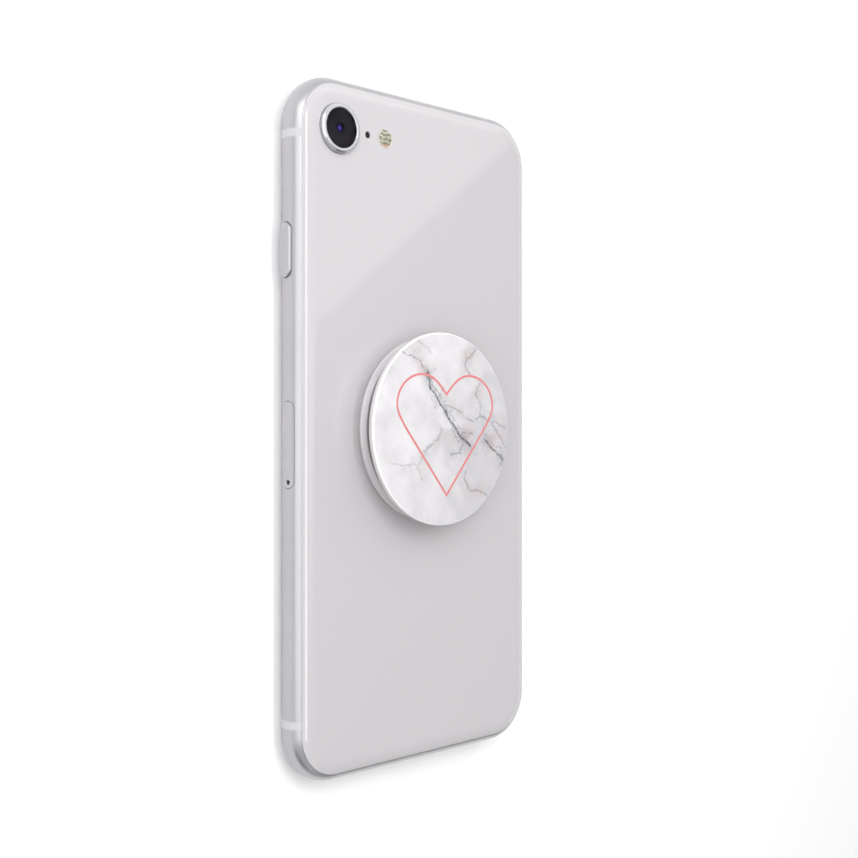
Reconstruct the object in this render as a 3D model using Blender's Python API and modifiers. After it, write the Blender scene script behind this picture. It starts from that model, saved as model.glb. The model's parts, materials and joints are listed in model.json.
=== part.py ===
"""Compact smartphone lying on its screen, with a collapsible grip stuck to its back.

World frame, metres: the front glass's outer face is at z = 0 and +Z points out of
the back, +Y points to the camera end, and +X is to the right as seen from the back.
The origin is under the middle of the phone. Sizes in this file are millimetres, and
MM turns them into metres where the meshes are made.
"""

import math

import bmesh
import bpy

MM = 0.001

# Driving dimensions of the phone
BODY_WIDTH = 67.3
BODY_LENGTH = 138.4
BODY_THICKNESS = 7.3
PLAN_CORNER_RADIUS = 10.3
EDGE_RUN = 4.6            # how far in the rounded edge reaches at the outer faces
EDGE_POWER = 2.3          # 2 is an ellipse, and more is squarer
GLASS_THICKNESS = 0.68
SEAM = 0.04               # half the seam between a glass and the frame
INNER_WALL_INSET = 2.45   # from the frame's widest outline to its inner wall
FIT = 0.08                # all-round gap of a piece in its opening
CORNER_STEPS = 8

MID_Z = BODY_THICKNESS / 2
HALF_WIDTH = BODY_WIDTH / 2
HALF_LENGTH = BODY_LENGTH / 2
BAND_BOTTOM_Z = GLASS_THICKNESS + SEAM
BAND_TOP_Z = BODY_THICKNESS - GLASS_THICKNESS - SEAM
INNER_X = HALF_WIDTH - INNER_WALL_INSET
INNER_Y = HALF_LENGTH - INNER_WALL_INSET
BAND_ROWS = (1.15, 1.85, 2.75, MID_Z, 4.55, 5.45, 6.15)   # heights that draw its curve
REAR_GLASS_ROWS = (6.85, 7.05, 7.2)
FRONT_GLASS_ROWS = (0.1, 0.25, 0.45)
BACK_PLATE_Z = (6.05, 6.5)

# Rear camera, microphone and flash, which share one line across the back
CAMERA_X, CAMERA_Y = -23.3, 58.8
CAMERA_RING_RADIUS = 4.9
CAMERA_WINDOW_RADIUS = 3.85
CAMERA_HEIGHT = 0.95      # of the ring above the rear glass
REAR_MIC_X = -15.67
REAR_MIC_HOLE_RADIUS = 0.68
FLASH_X = -10.94
FLASH_RADIUS = 1.8
FLASH_BASE_Z = 6.0
BARREL_RADIUS = 3.3
BARREL_Z = (6.0, 7.55)

# Side keys, tray and switch: (middle y, length along y)
SIDE_BUTTON = (34.4, 10.6)
VOLUME_UP = (34.2, 10.4)
VOLUME_DOWN = (21.6, 10.4)
KEYS = {                  # side of the phone, and place
    "side_button": (-1, SIDE_BUTTON),
    "volume_up_button": (1, VOLUME_UP),
    "volume_down_button": (1, VOLUME_DOWN),
}
BUTTON_HEIGHT = 2.9
BUTTON_STAND = 0.45       # how far a key stands out of the frame
BUTTON_INNER_GAP = 0.3    # from the frame's inner wall out to a key's inner end
SWITCH_SLOT = (46.0, 5.7)
SWITCH_CORNER_RADIUS = 0.75
SWITCH_LEVER_HEIGHT = 1.55
SWITCH_TRAVEL = 1.2
TRAY = (-3.05, 16.7)
TRAY_HEIGHT = 2.6
TRAY_Z = MID_Z + 0.6
TRAY_LEAF_WIDTH = 13.8
TRAY_LEAF_LENGTH = 17.0
TRAY_LEAF_THICKNESS = 0.8
SIM_LENGTH, SIM_WIDTH, SIM_THICKNESS = 12.3, 8.8, 0.67
TRAY_PINHOLE_Y = -10.25
TRAY_HEAD_DEPTH = 1.25
READER_Z = (3.35, 5.2)
DOME_SWITCH_X = (INNER_X - 1.3, INNER_X - 0.2)
DOME_SWITCH_HEIGHT = 2.6

ANTENNA_Y = 56.8
ANTENNA_WIDTH = 1.55
ANTENNA_DEPTH = 0.55

# Bottom edge
PORT_WIDTH, PORT_HEIGHT, PORT_DEPTH = 8.35, 2.7, 6.9
SCREW_X = 7.3
SCREW_HEAD_RADIUS = 0.78
SCREW_SHANK_RADIUS = 0.55
SCREW_RECESS = 0.12       # of the heads below the frame's outer face
GRILLE_MESH_HEIGHT = 2.4
GRILLE_FIRST_X, GRILLE_PITCH, GRILLE_COUNT = 11.0, 2.3, 6
GRILLE_HOLE_RADIUS = 0.75

# Front
GASKET_Z = (0.78, 1.2)
HOME_Y = -60.6
HOME_RING_RADIUS = 5.45
HOME_RING_WIDTH = 0.45
HOME_TOP_Z = 0.75         # inner end of the ring and the key
EARPIECE_Y = 61.9
EARPIECE_SLOT = (10.2, 1.3)
EARPIECE_MESH_GAP = 0.15
FRONT_CAMERA_X = 9.6

# Collapsible grip
GRIP_DISC_RADIUS = 19.8
GRIP_DISC_TOP_Z = 13.3
GRIP_DISC_RIM_Z = 11.85   # underside of the disc at its rim
GRIP_BASE_RADIUS = 18.9
GRIP_BASE_Z = (8.2, 9.3)
GRIP_TAPER = 1.0          # of the base, from its foot to its rim
GRIP_WELL_RADIUS = 17.3   # of the dish that the folded sleeve lies in
GRIP_FLOOR = 0.45
GRIP_PAD_RADIUS = 18.4
GRIP_RIBS = ((16.8, 8.75), (14.3, 9.15), (16.0, 9.55), (13.0, 9.95), (14.6, 10.35), (11.8, 10.75))
GRIP_SLEEVE_WALL = 0.9
GRIP_PLATE_RADIUS = 17.4
GRIP_PLATE_Z = (10.9, 11.7)
GRIP_HUB_RADIUS = 6.5
GRIP_HUB_TOP_Z = 12.35
GRIP_HUB_GAP = (0.15, 0.1)   # round the hub, and above it

# Blocks inside: (x, y) size, (low, high) z, (x, y) middle, material, corner, chamfer
INNER_BLOCKS = {
    "battery": ((38.4, 93.0), (2.75, 5.35), (10.2, 3.5), "battery_wrap", 1.5, 0.4),
    "logic_board": ((19.6, 72.0), (2.7, 3.25), (-19.6, 16.5), "circuit_board", 1.0, 0.0),
    "board_shield_lower": ((17.6, 17.4), (3.35, 5.3), (-19.6, 17.3), "steel", 0.5, 0.25),
    "board_shield_upper": ((17.6, 22.0), (3.35, 5.3), (-19.6, 39.0), "steel", 0.5, 0.25),
    "haptic_engine": ((30.0, 11.0), (2.75, 5.9), (14.0, -50.5), "steel", 0.5, 0.3),
    "loudspeaker_module": ((18.6, 8.6), (1.6, 5.8), (-16.5, -61.4), "black_rubber", 0.5, 0.3),
    "bottom_microphone": ((4.0, 3.0), (2.6, 4.8), (13.4, -64.4), "steel", 0.4, 0.0),
    "rear_camera_module": ((9.8, 9.8), (2.9, 5.95), (CAMERA_X, CAMERA_Y), "steel", 0.5, 0.2),
    "flash_board": ((4.4, 4.4), (5.2, 5.95), (FLASH_X, CAMERA_Y), "circuit_board", 0.4, 0.0),
    "rear_microphone": ((2.6, 3.4), (5.0, 5.95), (REAR_MIC_X, CAMERA_Y), "steel", 0.3, 0.0),
    "display_panel": ((59.6, 105.4), (0.78, 2.2), (0, 0), "display_black", 0.8, 0.0),
    "display_shield_plate": ((59.0, 104.4), (2.3, 2.6), (0, 0), "steel", 1.5, 0.0),
    "home_button_bracket": ((16.0, 9.0), (0.95, 1.5), (0, HOME_Y), "steel", 1.0, 0.0),
    "earpiece_speaker": ((12.6, 6.2), (0.85, 3.6), (0, EARPIECE_Y), "black_rubber", 0.5, 0.2),
    "front_camera_module": ((5.6, 5.6), (0.8, 4.4), (FRONT_CAMERA_X, EARPIECE_Y), "sensor_black", 0.5, 0.2),
}
COIL_RADII, COIL_Z = (9.0, 21.5), (5.5, 5.9)

COLOURS = {               # sRGB hex, roughness, metallic
    "silver_aluminium": ("b9bbbf", 0.35, 1.0),
    "antenna_plastic": ("c9cbcd", 0.45, 0.0),
    "white_glass": ("e2e0e4", 0.08, 0.0),
    "black_glass": ("08080b", 0.05, 0.0),
    "polished_metal": ("d4d6da", 0.15, 1.0),
    "sensor_black": ("101114", 0.4, 0.0),
    "flash_lens": ("cfc79a", 0.25, 0.0),
    "steel": ("a9acb0", 0.4, 1.0),
    "display_black": ("0b0c10", 0.15, 0.0),
    "battery_wrap": ("1d1e22", 0.55, 0.0),
    "circuit_board": ("1f3b2e", 0.5, 0.0),
    "copper": ("b5713f", 0.35, 1.0),
    "black_rubber": ("18181a", 0.7, 0.0),
    "sim_plastic": ("e9e6dc", 0.45, 0.0),
    "grip_white": ("f1eff0", 0.3, 0.0),
    "grip_print": ("f3eeee", 0.12, 0.0),
    "grey_foam": ("8f9094", 0.9, 0.0),
}


def clear_scene():
    for obj in list(bpy.data.objects):
        bpy.data.objects.remove(obj, do_unlink=True)


def new_collection(name):
    collection = bpy.data.collections.new(name)
    bpy.context.scene.collection.children.link(collection)
    return collection


def principled(name):
    """The material of that name, made on its first use."""
    if name in bpy.data.materials:
        return bpy.data.materials[name]
    colour, roughness, metallic = COLOURS[name]
    channels = [int(colour[i:i + 2], 16) / 255 for i in (0, 2, 4)]
    linear = [c / 12.92 if c <= 0.04045 else ((c + 0.055) / 1.055) ** 2.4 for c in channels]
    material = bpy.data.materials.new(name)
    material.use_nodes = True
    shader = material.node_tree.nodes["Principled BSDF"]
    shader.inputs["Base Color"].default_value = (*linear, 1.0)
    shader.inputs["Roughness"].default_value = roughness
    shader.inputs["Metallic"].default_value = metallic
    material.diffuse_color = (*linear, 1.0)
    return material


def add_object(name, mesh, material, at=(0, 0, 0), turn=(0, 0, 0)):
    """Links a mesh as a part, or as a hidden cutter where no material is given."""
    obj = bpy.data.objects.new(name, mesh)
    obj.location = [value * MM for value in at]
    obj.rotation_euler = [math.radians(angle) for angle in turn]
    if material is None:
        CUTTERS.objects.link(obj)
        obj.hide_render = True
        obj.display_type = "WIRE"
        return obj
    PHONE.objects.link(obj)
    mesh.materials.append(principled(material))
    mesh.shade_smooth()
    mesh.set_sharp_from_angle(angle=math.radians(35))
    return obj


def rounded_outline(width, length, radius, steps=CORNER_STEPS):
    """Points of a rounded rectangle, anticlockwise round the origin. Half the width
    or the length as the radius gives round ends, whose shared points count once."""
    points = []
    for quarter, (side_x, side_y) in enumerate(((1, 1), (-1, 1), (-1, -1), (1, -1))):
        centre_x = side_x * (width / 2 - radius)
        centre_y = side_y * (length / 2 - radius)
        for step in range(steps + 1):
            angle = math.radians(90 * (quarter + step / steps))
            point = (centre_x + radius * math.cos(angle), centre_y + radius * math.sin(angle))
            if not points or math.dist(point, points[-1]) > 1e-4:
                points.append(point)
    return points if math.dist(points[0], points[-1]) > 1e-4 else points[:-1]


def loft(name, sections, material=None, ring=False, **place):
    """A skin of quads between sections, each an outline with the same number of points
    and its z. Its ends are capped, or joined to each other for a ring, whose sections go
    up the outside and down the inside."""
    bm = bmesh.new()
    loops = [[bm.verts.new((x * MM, y * MM, z * MM)) for x, y in outline] for outline, z in sections]
    pairs = list(zip(loops, loops[1:]))
    if ring:
        pairs.append((loops[-1], loops[0]))
    else:
        bm.faces.new(loops[0])
        bm.faces.new(loops[-1])
    for lower, upper in pairs:
        for here, (low, high) in enumerate(zip(lower, upper)):
            bm.faces.new((low, high, upper[here - 1], lower[here - 1]))
    bmesh.ops.recalc_face_normals(bm, faces=bm.faces)
    mesh = bpy.data.meshes.new(name)
    bm.to_mesh(mesh)
    bm.free()
    return add_object(name, mesh, material, **place)


def slab(name, size, z_range, material=None, radius=0.5, chamfer=0.0, steps=3, **place):
    """A rounded rectangle of size (x, y) between two heights, with chamfered rims."""
    low, high = z_range
    full = rounded_outline(*size, radius, steps)
    sections = [(full, low), (full, high)]
    if chamfer:
        narrow = rounded_outline(size[0] - 2 * chamfer, size[1] - 2 * chamfer, radius - chamfer, steps)
        sections = [(narrow, low), (full, low + chamfer), (full, high - chamfer), (narrow, high)]
    return loft(name, sections, material, **place)


def along_x(name, length, height, x_range, material=None, middle=(0, MID_Z), **shape):
    """A slab with round ends that runs along X. Its length is along Y, and middle is (y, z)."""
    centre_x = sum(x_range) / 2
    half = abs(x_range[1] - x_range[0]) / 2
    shape.setdefault("radius", height / 2)
    return slab(name, (height, length), (-half, half), material, steps=6,
                at=(centre_x, *middle), turn=(0, 90, 0), **shape)


def turned(name, profile, material=None, steps=32, **place):
    """A profile of (radius, z) turned round Z. It runs down the outside, top to bottom,
    and a profile that stays off the axis is closed into a ring."""
    bm = bmesh.new()
    verts = [bm.verts.new((radius * MM, 0, z * MM)) for radius, z in profile]
    for above, below in zip(verts, verts[1:]):
        bm.edges.new((above, below))
    if profile[0][0] > 0:
        bm.edges.new((verts[-1], verts[0]))
    mesh = bpy.data.meshes.new(name)
    bm.to_mesh(mesh)
    bm.free()
    obj = add_object(name, mesh, material, **place)
    screw = obj.modifiers.new("Turn", "SCREW")
    screw.steps = screw.render_steps = steps
    screw.use_merge_vertices = True
    screw.merge_threshold = 0.00001
    screw.use_smooth_shade = material is not None
    return obj


def disc(name, radius, z_range, material=None, chamfer=0.0, steps=32, **place):
    low, high = z_range
    profile = [(0, high), (radius - chamfer, high), (radius, high - chamfer), (radius, low), (0, low)]
    if not chamfer:
        profile.pop(1)
    return turned(name, profile, material, steps, **place)


def cylinder_along_y(name, radius, y_range, x, z=MID_Z, material=None, steps=16):
    """A round bar along Y, from the lower to the higher y of its range."""
    low, high = y_range
    return disc(name, radius, (-high, -low), material, steps=steps, at=(x, 0, z), turn=(90, 0, 0))


def cut(target, cutter, operation="DIFFERENCE"):
    boolean = target.modifiers.new(cutter.name, "BOOLEAN")
    boolean.operation = operation
    boolean.solver = "EXACT"
    boolean.object = cutter


def edge_inset(z):
    """How far the housing's rounded edge lies inside its widest outline at that height."""
    rise = min(abs(z - MID_Z) / MID_Z, 1.0)
    return EDGE_RUN * (1 - (1 - rise ** EDGE_POWER) ** (1 / EDGE_POWER))


def body_outline(inset):
    return rounded_outline(BODY_WIDTH - 2 * inset, BODY_LENGTH - 2 * inset, PLAN_CORNER_RADIUS - inset)


def side_strip(name, side, y_range, z_range, depth, stand, material=None, rows=8):
    """A bar along Y whose outer face follows the frame's rounded side, out by stand
    and in by depth. side is +1 or -1."""
    low, high = z_range
    heights = [low + (high - low) * row / rows for row in range(rows + 1)]
    outer = [(side * (HALF_WIDTH - edge_inset(z) + stand), z) for z in heights]
    inner = [(side * (HALF_WIDTH - edge_inset(z) - depth), z) for z in reversed(heights)]
    section = outer + inner
    return loft(name, [(section, -y_range[1]), (section, -y_range[0])], material, turn=(90, 0, 0))


def span(middle, length):
    return middle - length / 2, middle + length / 2


# Housing -------------------------------------------------------------------------


def make_frame_band():
    """The side frame is one milled ring. Every opening in it is a cutter below."""
    heights = [BAND_BOTTOM_Z, *BAND_ROWS, BAND_TOP_Z]
    sections = [(body_outline(edge_inset(z)), z) for z in heights]
    wall = body_outline(INNER_WALL_INSET)
    sections += [(wall, BAND_TOP_Z), (wall, BAND_BOTTOM_Z)]
    band = loft("frame_band", sections, "silver_aluminium", ring=True)

    outside, inside = HALF_WIDTH + 2, INNER_X - 1
    for key, (side, (middle, length)) in KEYS.items():
        cutter = along_x(f"{key}_slot", length + 2 * FIT, BUTTON_HEIGHT + 2 * FIT,
                         (side * inside, side * outside), middle=(middle, MID_Z))
        cut(band, cutter)
    middle, length = SWITCH_SLOT
    cut(band, along_x("ring_switch_slot", length, BUTTON_HEIGHT, (inside, outside), middle=(middle, MID_Z),
                      radius=SWITCH_CORNER_RADIUS))
    middle, length = TRAY
    cut(band, along_x("tray_slot", length + 2 * FIT, TRAY_HEIGHT + 2 * FIT, (-outside, -inside),
                      middle=(middle, TRAY_Z)))

    for end in (-1, 1):
        for side in (-1, 1):
            groove = side_strip(f"antenna_groove_{end}_{side}", side,
                                span(end * ANTENNA_Y, ANTENNA_WIDTH + FIT),
                                (BAND_BOTTOM_Z - 0.2, BAND_TOP_Z + 0.2), ANTENNA_DEPTH + 0.05, 1.0)
            cut(band, groove)

    bottom = (-HALF_LENGTH - 1, -INNER_Y + 1)
    cut(band, slab("port_mouth", (PORT_WIDTH, PORT_HEIGHT), (-bottom[1], -bottom[0]),
                   radius=PORT_HEIGHT / 2, steps=6, at=(0, 0, MID_Z), turn=(90, 0, 0)))
    for side in (-1, 1):
        cut(band, cylinder_along_y(f"screw_hole_{side}", SCREW_HEAD_RADIUS + 0.06, bottom, side * SCREW_X))
        for hole in range(GRILLE_COUNT):
            x = side * (GRILLE_FIRST_X + hole * GRILLE_PITCH)
            cut(band, cylinder_along_y(f"grille_{side}_{hole}", GRILLE_HOLE_RADIUS, bottom, x, steps=12))


def make_antenna_strips():
    """Moulded plastic inlays that break the metal near each corner."""
    ends = {"top": 1, "bottom": -1}
    sides = {"left": -1, "right": 1}
    for end_name, end in ends.items():
        for side_name, side in sides.items():
            side_strip(f"antenna_strip_{end_name}_{side_name}", side, span(end * ANTENNA_Y, ANTENNA_WIDTH),
                       (BAND_BOTTOM_Z, BAND_TOP_Z), ANTENNA_DEPTH, 0.0, "antenna_plastic")


def make_rear_glass():
    heights = [BODY_THICKNESS - GLASS_THICKNESS, *REAR_GLASS_ROWS, BODY_THICKNESS]
    glass = loft("back_glass", [(body_outline(edge_inset(z)), z) for z in heights], "white_glass")
    through = (BODY_THICKNESS - 2 * GLASS_THICKNESS, BODY_THICKNESS + 1)
    cut_row_of_holes(glass, "glass", CAMERA_RING_RADIUS + FIT, through)


def cut_row_of_holes(target, name, camera_radius, through):
    """The holes for the camera, the microphone and the flash, on their shared line."""
    cut(target, disc(f"camera_{name}_hole", camera_radius, through, at=(CAMERA_X, CAMERA_Y, 0)))
    flash_at = (FLASH_X, CAMERA_Y, 0)
    cut(target, disc(f"flash_{name}_hole", FLASH_RADIUS + FIT, through, steps=24, at=flash_at))
    mic_at = (REAR_MIC_X, CAMERA_Y, 0)
    cut(target, disc(f"mic_{name}_hole", REAR_MIC_HOLE_RADIUS, through, steps=16, at=mic_at))


def make_back_plate():
    """Stiffening plate bonded under the rear glass."""
    low, high = BACK_PLATE_Z
    plate = slab("back_plate", (2 * INNER_X - 0.5, 2 * INNER_Y - 0.5), BACK_PLATE_Z, "steel",
                 radius=PLAN_CORNER_RADIUS - INNER_WALL_INSET - 0.25, steps=CORNER_STEPS)
    cut_row_of_holes(plate, "plate", BARREL_RADIUS + 0.7, (low - 0.5, high + 0.5))


def make_rear_camera():
    here = (CAMERA_X, CAMERA_Y, 0)
    top = BODY_THICKNESS + CAMERA_HEIGHT
    foot = BODY_THICKNESS - GLASS_THICKNESS
    bore = CAMERA_WINDOW_RADIUS + FIT
    ring = [(bore + 0.12, top), (CAMERA_RING_RADIUS - 0.35, top), (CAMERA_RING_RADIUS - 0.1, top - 0.12),
            (CAMERA_RING_RADIUS, top - 0.35), (CAMERA_RING_RADIUS, foot), (bore, foot), (bore, top - 0.12)]
    turned("camera_bezel_ring", ring, "polished_metal", 48, at=here)
    disc("camera_lens_cover", CAMERA_WINDOW_RADIUS, (top - 0.6, top - 0.12), "black_glass",
         chamfer=0.05, steps=48, at=here)
    low, high = BARREL_Z
    barrel = [(2.2, high), (BARREL_RADIUS, high), (BARREL_RADIUS, low), (1.2, low), (1.2, low + 0.5)]
    turned("rear_camera_barrel", barrel, "sensor_black", 32, at=here)
    disc("flash_lens", FLASH_RADIUS, (FLASH_BASE_Z, BODY_THICKNESS + 0.02), "flash_lens",
         chamfer=0.08, steps=24, at=(FLASH_X, CAMERA_Y, 0))


def make_front_glass():
    heights = [0.0, *FRONT_GLASS_ROWS, GLASS_THICKNESS]
    glass = loft("front_glass", [(body_outline(edge_inset(z)), z) for z in heights], "white_glass")
    cut(glass, disc("home_hole", HOME_RING_RADIUS + FIT, (-1, 2), steps=36, at=(0, HOME_Y, 0)))
    cut(glass, slab("earpiece_slot", EARPIECE_SLOT, (-1, 2), radius=EARPIECE_SLOT[1] / 2, steps=4,
                    at=(0, EARPIECE_Y, 0)))


def make_display_gasket():
    low, high = GASKET_Z
    outlines = []
    for inset in (0.15, 0.65):
        outlines.append(rounded_outline(2 * (INNER_X - inset), 2 * (INNER_Y - inset),
                                        PLAN_CORNER_RADIUS - INNER_WALL_INSET - inset))
    outer, inner = outlines
    section = [(outer, low), (outer, high), (inner, high), (inner, low)]
    loft("display_gasket", section, "black_rubber", ring=True)


def make_home_button():
    """The key is a fixed touch sensor under its own glass, in a fine metal ring."""
    here = (0, HOME_Y, 0)
    inner = HOME_RING_RADIUS - HOME_RING_WIDTH
    ring = [(inner + 0.02, HOME_TOP_Z), (HOME_RING_RADIUS, HOME_TOP_Z), (HOME_RING_RADIUS, 0.05),
            (inner + 0.1, 0.02)]
    turned("home_button_ring", ring, "polished_metal", 36, at=here)
    disc("home_button", inner - 0.05, (0.1, HOME_TOP_Z), "white_glass", steps=36, at=here)


def make_earpiece_mesh():
    width, height = (size - EARPIECE_MESH_GAP for size in EARPIECE_SLOT)
    slab("earpiece_mesh", (width, height), (0.3, 0.62), "black_rubber", radius=height / 2,
         steps=4, at=(0, EARPIECE_Y, 0))


# Inside --------------------------------------------------------------------------


def make_inner_parts():
    for name, (size, z_range, middle, material, corner, chamfer) in INNER_BLOCKS.items():
        slab(name, size, z_range, material, radius=corner, chamfer=chamfer, at=(*middle, 0))
    (inner, outer), (low, high) = COIL_RADII, COIL_Z
    coil = [(inner, high), (outer, high), (outer, low), (inner, low)]
    turned("wireless_charging_coil", coil, "copper", 48)


def make_charging_port():
    """A metal-lined socket open only at its mouth, which meets the frame's opening."""
    depth_range = (INNER_Y - PORT_DEPTH - 1.2, INNER_Y - 0.15)
    port = slab("charging_port", (12.4, 4.2), depth_range, "steel", radius=1.2,
                at=(0, 0, MID_Z), turn=(90, 0, 0))
    cut(port, slab("port_socket", (PORT_WIDTH, PORT_HEIGHT), (INNER_Y - PORT_DEPTH, HALF_LENGTH),
                   radius=PORT_HEIGHT / 2, steps=6, at=(0, 0, MID_Z), turn=(90, 0, 0)))


def make_bottom_edge():
    top, tip = HALF_LENGTH - SCREW_RECESS, INNER_Y - 1.0
    head = [(0, top), (SCREW_HEAD_RADIUS - 0.1, top), (SCREW_HEAD_RADIUS, top - 0.13),
            (SCREW_HEAD_RADIUS, top - 1.0), (SCREW_SHANK_RADIUS, top - 1.1), (SCREW_SHANK_RADIUS, tip + 0.1),
            (0, tip)]
    for name, side in (("left", -1), ("right", 1)):
        turned(f"bottom_screw_{name}", head, "steel", 16, at=(side * SCREW_X, 0, MID_Z), turn=(90, 0, 0))
    mesh_size = (GRILLE_PITCH * GRILLE_COUNT, GRILLE_MESH_HEIGHT)
    middle = GRILLE_FIRST_X + GRILLE_PITCH * (GRILLE_COUNT - 1) / 2
    for name, side in (("speaker_mesh", -1), ("microphone_mesh", 1)):
        slab(name, mesh_size, (INNER_Y - 0.5, INNER_Y - 0.2), "black_rubber", radius=1.0,
             at=(side * middle, 0, MID_Z), turn=(90, 0, 0))


# Moving pieces -------------------------------------------------------------------


def make_keys():
    """Each key slides straight in through the frame onto its dome switch."""
    inner_end = INNER_X + BUTTON_INNER_GAP
    outer_end = HALF_WIDTH + BUTTON_STAND
    for name, (side, (middle, length)) in KEYS.items():
        along_x(name, length, BUTTON_HEIGHT, (side * inner_end, side * outer_end), "silver_aluminium",
                middle=(middle, MID_Z), chamfer=0.25)
    along_x("side_button_switch", 7.0, DOME_SWITCH_HEIGHT, (-DOME_SWITCH_X[1], -DOME_SWITCH_X[0]), "steel",
            middle=(SIDE_BUTTON[0], MID_Z), radius=0.5)
    first, last = VOLUME_DOWN[0] - 4.5, VOLUME_UP[0] + 4.5
    along_x("volume_switch_board", last - first, DOME_SWITCH_HEIGHT, DOME_SWITCH_X, "steel",
            middle=((first + last) / 2, MID_Z), radius=0.5)


def make_ring_switch():
    """The lever slides towards the back of the phone, across its slot."""
    middle, length = SWITCH_SLOT
    lever_z = MID_Z - SWITCH_TRAVEL / 2
    along_x("ring_switch_lever", length - 4 * FIT, SWITCH_LEVER_HEIGHT,
            (INNER_X + BUTTON_INNER_GAP, HALF_WIDTH + BUTTON_STAND - 0.05), "silver_aluminium",
            middle=(middle, lever_z), radius=SWITCH_CORNER_RADIUS - FIT, chamfer=0.2)
    along_x("ring_switch_body", length + 1.6, 3.4, (INNER_X - 1.2, INNER_X - 0.2), "sensor_black",
            middle=(middle, MID_Z), radius=0.5)


def make_sim_tray():
    """The tray's head fills its slot and follows the frame's rounded side. Its leaf
    carries the card in a pocket and runs in the reader's slot."""
    middle, length = TRAY
    head = side_strip("sim_tray", -1, span(middle, length), span(TRAY_Z, TRAY_HEIGHT),
                      TRAY_HEAD_DEPTH, 0.0, "silver_aluminium")
    cut(head, along_x("tray_head_outline", length, TRAY_HEIGHT, (-HALF_WIDTH - 1, -INNER_X + 1),
                      middle=(middle, TRAY_Z)), "INTERSECT")
    leaf_end = -HALF_WIDTH + 1.0 + TRAY_LEAF_LENGTH
    leaf_x = (-HALF_WIDTH + 1.0, leaf_end)
    leaf = slab("tray_leaf", (TRAY_LEAF_LENGTH, TRAY_LEAF_WIDTH), span(TRAY_Z, TRAY_LEAF_THICKNESS),
                radius=0.8, at=(sum(leaf_x) / 2, middle, 0))
    cut(head, leaf, "UNION")
    card_x = leaf_end - 1.6 - SIM_WIDTH / 2
    card_z = (TRAY_Z + TRAY_LEAF_THICKNESS / 2 - SIM_THICKNESS, TRAY_Z + TRAY_LEAF_THICKNESS / 2)
    pocket = slab("card_pocket", (SIM_WIDTH + 0.2, SIM_LENGTH + 0.2), (card_z[0] - 0.05, card_z[1] + 1),
                  radius=0.6, at=(card_x, middle, 0))
    cut(head, pocket)
    cut(head, along_x("eject_pinhole", 0.9, 0.9, (-HALF_WIDTH - 1, -HALF_WIDTH + 0.9),
                      middle=(TRAY_PINHOLE_Y, TRAY_Z)))
    slab("sim_card", (SIM_WIDTH, SIM_LENGTH), card_z, "sim_plastic", radius=0.5, at=(card_x, middle, 0))

    reader_x = (-INNER_X + 0.3, leaf_end + 0.9)
    reader = slab("sim_reader", (reader_x[1] - reader_x[0], TRAY_LEAF_WIDTH + 2.2), READER_Z, "steel",
                  radius=0.4, at=(sum(reader_x) / 2, middle, 0))
    slot_x = (reader_x[0] - 1, leaf_end + 0.4)
    cut(reader, slab("reader_slot", (slot_x[1] - slot_x[0], TRAY_LEAF_WIDTH + 0.4), span(TRAY_Z, 1.1),
                     radius=0.3, at=(sum(slot_x) / 2, middle, 0)))


# Grip ----------------------------------------------------------------------------


def make_grip_base():
    """A thin floor with a raised rim, held to the glass by a pad of adhesive foam."""
    low, high = GRIP_BASE_Z
    floor = low + GRIP_FLOOR
    edge = GRIP_BASE_RADIUS
    disc("grip_adhesive_pad", GRIP_PAD_RADIUS, (BODY_THICKNESS + 0.05, low - 0.05), "grey_foam", steps=48)
    profile = [(0, floor), (GRIP_WELL_RADIUS, floor), (GRIP_WELL_RADIUS + 0.3, high),
               (edge - GRIP_TAPER, high), (edge - 0.15, low + 0.6), (edge, low + 0.3), (edge - 0.3, low),
               (0, low)]
    turned("grip_base_plate", profile, "grip_white", 48)


def make_grip_bellows():
    """A ribbed sleeve of soft plastic, folded flat between the base and the top plate."""
    outer = [(radius, z) for radius, z in reversed(GRIP_RIBS)]
    inner = [(radius - GRIP_SLEEVE_WALL, z) for radius, z in GRIP_RIBS]
    turned("grip_bellows", outer + inner, "grip_white", 48)


def make_grip_top():
    """The plate carries a hub, and the disc drops over the hub and turns on it."""
    low, high = GRIP_PLATE_Z
    plate = [(0, GRIP_HUB_TOP_Z), (GRIP_HUB_RADIUS, GRIP_HUB_TOP_Z), (GRIP_HUB_RADIUS, high),
             (GRIP_PLATE_RADIUS - 0.4, high), (GRIP_PLATE_RADIUS, high - 0.3), (GRIP_PLATE_RADIUS - 0.4, low),
             (0, low)]
    turned("grip_top_plate", plate, "grip_white", 48)
    top, under = GRIP_DISC_TOP_Z, GRIP_DISC_RIM_Z
    edge = GRIP_DISC_RADIUS
    socket, ceiling = GRIP_HUB_RADIUS + GRIP_HUB_GAP[0], GRIP_HUB_TOP_Z + GRIP_HUB_GAP[1]
    disc_profile = [(0, top), (edge - 0.4, top), (edge - 0.12, top - 0.12), (edge, top - 0.4),
                    (edge, under + 0.25), (edge - 0.25, under), (socket, under), (socket, ceiling),
                    (0, ceiling)]
    turned("grip_top_disc", disc_profile, "grip_print", 64)


clear_scene()
PHONE = new_collection("smartphone")
CUTTERS = new_collection("cutters")

make_frame_band()
make_antenna_strips()
make_rear_glass()
make_back_plate()
make_rear_camera()
make_front_glass()
make_display_gasket()
make_home_button()
make_earpiece_mesh()
make_inner_parts()
make_charging_port()
make_bottom_edge()
make_keys()
make_ring_switch()
make_sim_tray()
make_grip_base()
make_grip_bellows()
make_grip_top()
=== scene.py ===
"""The finished look of a compact smartphone that lies on its screen, with a collapsible
grip stuck to its back. Shapes are worked out in millimetres and set down in metres."""

import json
import math

import bmesh
import bpy
from mathutils import Matrix, Vector


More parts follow.
